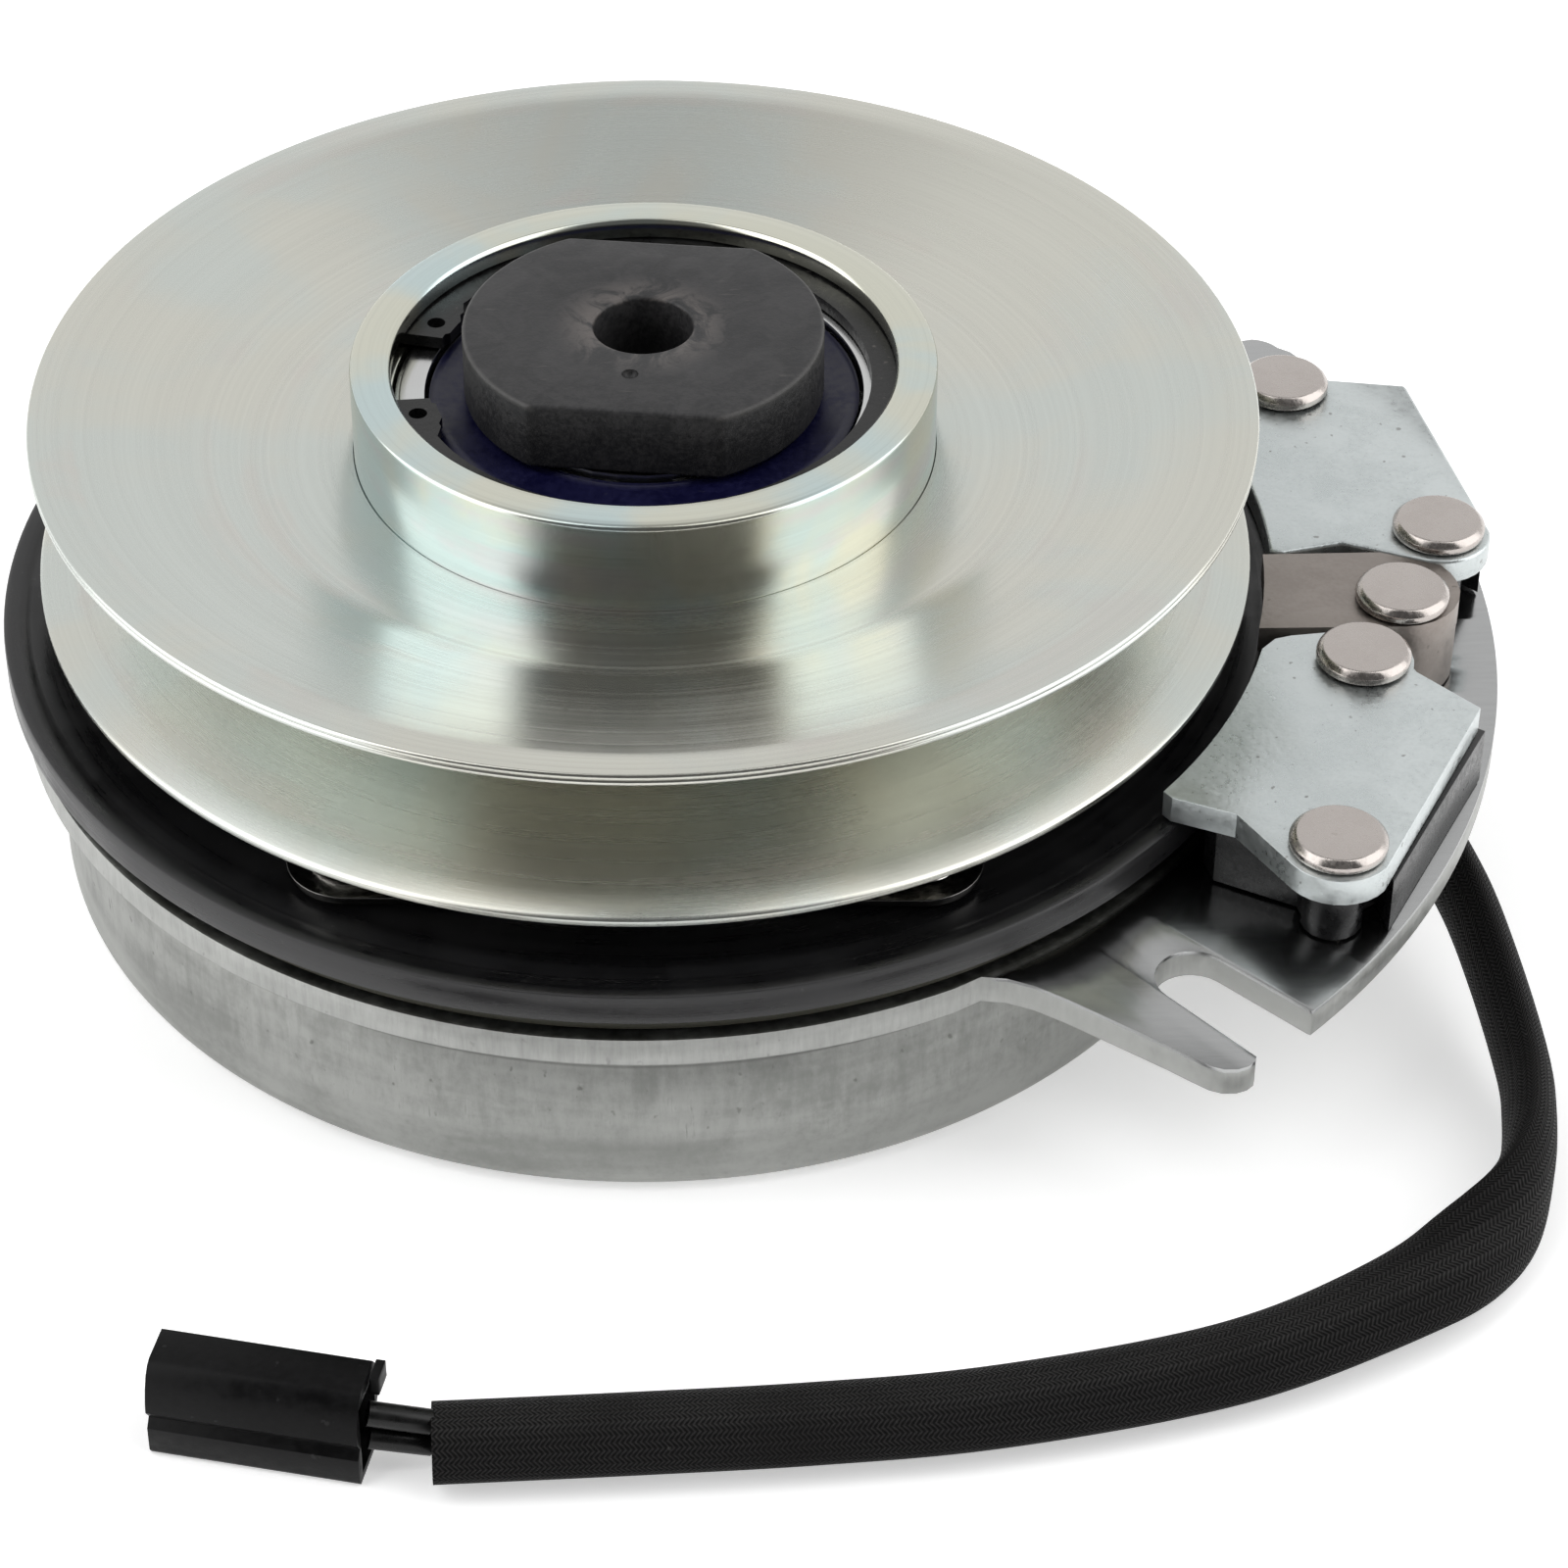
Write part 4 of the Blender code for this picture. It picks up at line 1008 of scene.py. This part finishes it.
def sleeveRing(mesh, line, index):
    # one section of the woven sleeve, turned from standing on its edge to lying flat as it goes
    ahead = line[min(index + 1, len(line) - 1)] - line[max(index - 1, 0)]
    ahead.normalize()
    side = ahead.cross(Vector((0, 0, 1))).normalized()
    up = side.cross(ahead).normalized()
    share = (index / lead["perSpan"] - lead["uprightUntil"]) / (lead["flatFrom"] - lead["uprightUntil"])
    share = min(max(share, 0.0), 1.0)
    turn = math.radians(90 * (1 - share * share * (3 - 2 * share)))
    ring = []
    for corner in range(lead["ringPoints"]):
        angle = math.tau * corner / lead["ringPoints"]
        wide = swell(math.cos(angle)) * lead["width"] / 2
        tall = swell(math.sin(angle)) * lead["thick"] / 2
        across = wide * math.cos(turn) - tall * math.sin(turn)
        above = wide * math.sin(turn) + tall * math.cos(turn)
        place = line[index] + side * across + up * above
        place.z = max(place.z, 0.05)
        ring.append(mesh.verts.new(((axisX + place.x) * mm, (axisY + place.y) * mm, place.z * mm)))
    return ring


def makeSleeve():
    line = smoothLine(lead["route"], lead["perSpan"])
    count = lead["ringPoints"]
    girth = lead["girth"]
    mesh = bmesh.new()
    weave = mesh.loops.layers.uv.new("weave")
    rings = [sleeveRing(mesh, line, index) for index in range(len(line))]
    travelled = [0.0]
    for before, after in zip(line, line[1:]):
        travelled.append(travelled[-1] + (after - before).length)
    for index in range(len(line) - 1):
        first, second = rings[index], rings[index + 1]
        start, end = travelled[index], travelled[index + 1]
        for corner in range(count):
            after = (corner + 1) % count
            face = mesh.faces.new((first[corner], first[after], second[after], second[corner]))
            near = corner / count * girth
            far = (corner + 1) / count * girth
            for loop, value in zip(face.loops, ((start, near), (start, far), (end, far), (end, near))):
                loop[weave].uv = value
    mesh.faces.new(list(reversed(rings[0])))
    mesh.faces.new(rings[-1])
    bmesh.ops.recalc_face_normals(mesh, faces=mesh.faces)
    data = bpy.data.meshes.new("leadSleeve")
    mesh.to_mesh(data)
    mesh.free()
    piece = bpy.data.objects.new("leadSleeve", data)
    bpy.context.scene.collection.objects.link(piece)
    finish(piece, "sleeve", "braid", "root", "lead_sleeve", smooth=50.0)
    path = [((axisX + p.x) * mm, (axisY + p.y) * mm, p.z * mm) for p in line]
    return piece, path, travelled[-1] * mm


connector = {
    "at": (-44.9, -115.8), "turn": -13.5, "length": 24.6, "depth": 8.8, "height": 12.6, "valley": 5.3,
    "cavities": ((0.9, 5.5, 17.0, -1), (6.9, 10.9, 17.0, -1), (1.0, 10.9, 4.0, 1)),  # low, high, depth, end
    "cavityWidth": 6.0, "latch": (0.3, 1.4, 10.2, 12.6), "latchWidth": 3.2,
}


def connectorPoint(along, across, height):
    x, y = spinPoints([(along, across)], connector["turn"])[0]
    return (axisX + connector["at"][0] + x, axisY + connector["at"][1] + y, height)


wires = {
    "diameter": 3.0, "leave": (-0.2, 1.4, 4.3), "leaveApart": 1.7, "enter": (0.2, -0.6, 6.3),
    "enterApart": 1.8,
}


def makeWires():
    made = []
    endX, endY, _ = lead["route"][-1]
    leaveX, leaveY, leaveZ = wires["leave"]
    along, across, level = wires["enter"]
    along += connector["length"] / 2
    for name, side in (("lead_wire_1", -1), ("lead_wire_2", 1)):
        start = Vector((axisX + endX + leaveX, axisY + endY + leaveY, leaveZ + side * wires["leaveApart"]))
        target = Vector(connectorPoint(along, across, level + side * wires["enterApart"]))
        middle = start.lerp(target, 0.5) + Vector((0, -0.1, 0.1))
        line = smoothLine([start, middle, target], 8)
        curve = bpy.data.curves.new(name + "Line", "CURVE")
        curve.dimensions = "3D"
        curve.bevel_depth = wires["diameter"] / 2 * mm
        curve.bevel_resolution = 8
        curve.use_fill_caps = True
        spline = curve.splines.new("POLY")
        spline.points.add(len(line) - 1)
        for point, spot in zip(spline.points, line):
            point.co = (*(spot * mm), 1)
        piece = bpy.data.objects.new("wire" + name[-1], curve)
        bpy.context.scene.collection.objects.link(piece)
        pick(piece)
        bpy.ops.object.convert(target="MESH")
        faceOut(piece)
        finish(piece, "wire", "wire_black", "root", name)
        made.append(piece)
    return made


def makeConnector():
    # its section is drawn flat, as long as the housing, then stood up and turned into place
    length = connector["length"]
    height = connector["height"]
    valley = connector["valley"]
    half = connector["depth"] / 2
    section = [  # across the housing and up it, from the bottom's front edge round by the back
        (-half + 0.5, 0.0), (half - 0.5, 0.0), (half, 0.8), (half, valley - 1.1), (half - 0.9, valley),
        (half, valley + 1.1), (half, height - 1.6), (half - 1.2, height), (-half + 2.9, height),
        (-half + 2.1, height - 0.35), (-half + 1.25, height - 1.3), (-half + 0.6, height - 2.8),
        (-half + 0.15, height - 4.6), (-half, valley + 1.4), (-half + 0.9, valley), (-half, valley - 1.1),
        (-half, 0.8),
    ]
    piece = cutSheet("connectorHousing", [section], -length / 2, length / 2, 0, 0)
    piece.rotation_euler = (math.radians(90), 0, math.radians(90 + connector["turn"]))
    piece.location = Vector(connectorPoint(0, 0, 0)) * mm
    applyAll(piece)
    for low, high, deep, side in connector["cavities"]:
        bpy.ops.mesh.primitive_cube_add(size=1, location=(0, 0, 0))
        tool = bpy.context.object
        tool.scale = (deep * 2 * mm, connector["cavityWidth"] * mm, (high - low) * mm)
        tool.rotation_euler.z = math.radians(connector["turn"])
        tool.location = Vector(connectorPoint(side * length / 2, 0, (low + high) / 2)) * mm
        cutWith(piece, tool)
    bevelEdges(piece, 0.25, 2, 40.0)
    finish(piece, "connector", "connector_black", "root", "connector_housing")
    return piece


def makeLatch():
    # the rough stub of the lock behind the wires
    near, far, low, high = connector["latch"]
    along = connector["length"] / 2 + (near + far) / 2
    bpy.ops.mesh.primitive_cube_add(size=1)
    piece = bpy.context.object
    piece.name = "connectorLatch"
    piece.scale = ((far - near) * mm, connector["latchWidth"] * mm, (high - low) * mm)
    piece.rotation_euler.z = math.radians(connector["turn"])
    piece.location = Vector(connectorPoint(along, 2.0, (low + high) / 2)) * mm
    applyAll(piece)
    bpy.ops.object.mode_set(mode="EDIT")
    bpy.ops.mesh.select_all(action="SELECT")
    bpy.ops.mesh.subdivide(number_cuts=3, fractal=0.35, seed=4)
    bpy.ops.object.mode_set(mode="OBJECT")
    bevelEdges(piece, 0.1, 2)
    finish(piece, "connector", "connector_black", "root", "connector_latch")
    return piece


grommet = {"radius": 5.0, "wallRadius": 76.5, "turn": -10.0, "height": 14.4}


def makeGrommet():
    # turned upright, then laid along the lead where it leaves the wall
    outer = grommet["radius"]
    profile = [
        (0, 1.9), (outer - 1.1, 1.9), (outer - 0.7, 1.75), (outer, 0.9), (outer, 0.4), (3.5, 0.4),
        (3.5, -3.9),
        (3.2, -4.4), (0, -4.4),
    ]
    piece = turnPiece("leadGrommet", profile, 64, -axisX, -axisY)
    bevelEdges(piece, 0.15, 2)
    turn = math.radians(grommet["turn"])
    piece.rotation_euler = (0, math.radians(90), turn)
    x = axisX + grommet["wallRadius"] * math.cos(turn)
    y = axisY + grommet["wallRadius"] * math.sin(turn)
    piece.location = (x * mm, y * mm, grommet["height"] * mm)
    applyAll(piece)
    finish(piece, "rubber", "rubber_black", "root", "lead_grommet")


def makeLead():
    makeGrommet()
    sleeve, path, length = makeSleeve()
    pair = makeWires()
    housing = makeConnector()
    plug = [housing, makeLatch(), nodes["connector_terminal_1"], nodes["connector_terminal_2"]]
    x, y, z = lead["route"][0]
    leaves = [(axisX + x) * mm, (axisY + y) * mm, z * mm]
    print("lead is", round(length / mm), "mm long")


makeLead()
print("lead made")


keptFinishes = {
    "inner_pole": "machined", "coil_bobbin": "bobbin", "coil_winding": "copper", "coil_potting": "potting",
    "field_bearing_balls": "ground", "field_bearing_seal_top": "sealBlack", "pulley_bearing_inner": "ground",
    "pulley_bearing_balls": "ground", "pulley_bearing_seal_low": "sealNavy", "friction_ring": "friction",
    "bearing_spacer": "ground",
    "connector_terminal_1": "brass", "connector_terminal_2": "brass",
}
for node, finishName in keptFinishes.items():
    nodes[node].data.materials.clear()
    nodes[node].data.materials.append(finishes[finishName])
print("kept nodes painted:", len(keptFinishes))


studio = {  # the turns are from straight behind the clutch, in radians
    "floor": 6.0, "floorTone": 0.9, "floorGlow": 0.42, "behind": 0.92, "overhead": 0.43, "gap": 0.11,
    "leftBox": 2.4, "rightBox": 2.2, "boxTurn": (1.18, 1.3), "gapTurn": (2.15, 2.4),
    "ceiling": (0.80, 0.95), "ceilingTurn": (1.7, 1.3),
}


def makeFloor():
    bpy.ops.mesh.primitive_plane_add(size=studio["floor"], location=(0, 0, 0))
    floor = bpy.context.object
    floor.name = "studioFloor"
    tone = studio["floorTone"]
    glow = studio["floorGlow"]
    paint = Paint("studioFloor", Roughness=0.9, Emission_Strength=1.0, Emission_Color=(glow, glow, glow, 1))
    cloud = paint.noise(paint.place(), 0.004, 2.0)
    paint.feed("Base Color", paint.mix(cloud, (tone,) * 3, (tone + 0.02,) * 3))
    floor.data.materials.append(paint.material)


def makeSky():
    # a pale wall behind, a dimmer ceiling, a soft box on each side, and a dark gap where the camera stands
    world = bpy.data.worlds.new("studio")
    bpy.context.scene.world = world
    world.use_nodes = True
    sky = Patterns(world.node_tree)
    x, y, z = sky.split(sky.link.node("ShaderNodeTexCoord", out="Generated"))
    azimuth = sky.link.maths("ARCTAN2", sky.link.maths("ABSOLUTE", x), y)  # 0 behind, pi at the camera
    sides = sky.level(x, 0.1, -0.1) * (studio["leftBox"] - studio["rightBox"]) + studio["rightBox"]
    bright = studio["behind"] + sky.level(azimuth, *studio["boxTurn"]) * (sides - studio["behind"])
    bright = bright + sky.level(azimuth, *studio["gapTurn"]) * (studio["gap"] - bright)
    ceiling = sky.level(z, *studio["ceiling"]) * sky.level(azimuth, *studio["ceilingTurn"])
    bright = bright + ceiling * (studio["overhead"] - bright)
    direct = sky.link.node("ShaderNodeLightPath", out="Is Camera Ray")
    bright = bright + direct * (1.0 - bright)  # a plain white backdrop where nothing is in front of it
    background = world.node_tree.nodes["Background"]
    world.node_tree.links.new(bright.socket, background.inputs["Strength"])
    background.inputs["Color"].default_value = (1.0, 1.0, 1.0, 1.0)
    bpy.context.scene.view_settings.view_transform = "Standard"


makeFloor()
makeSky()
print("studio lit")
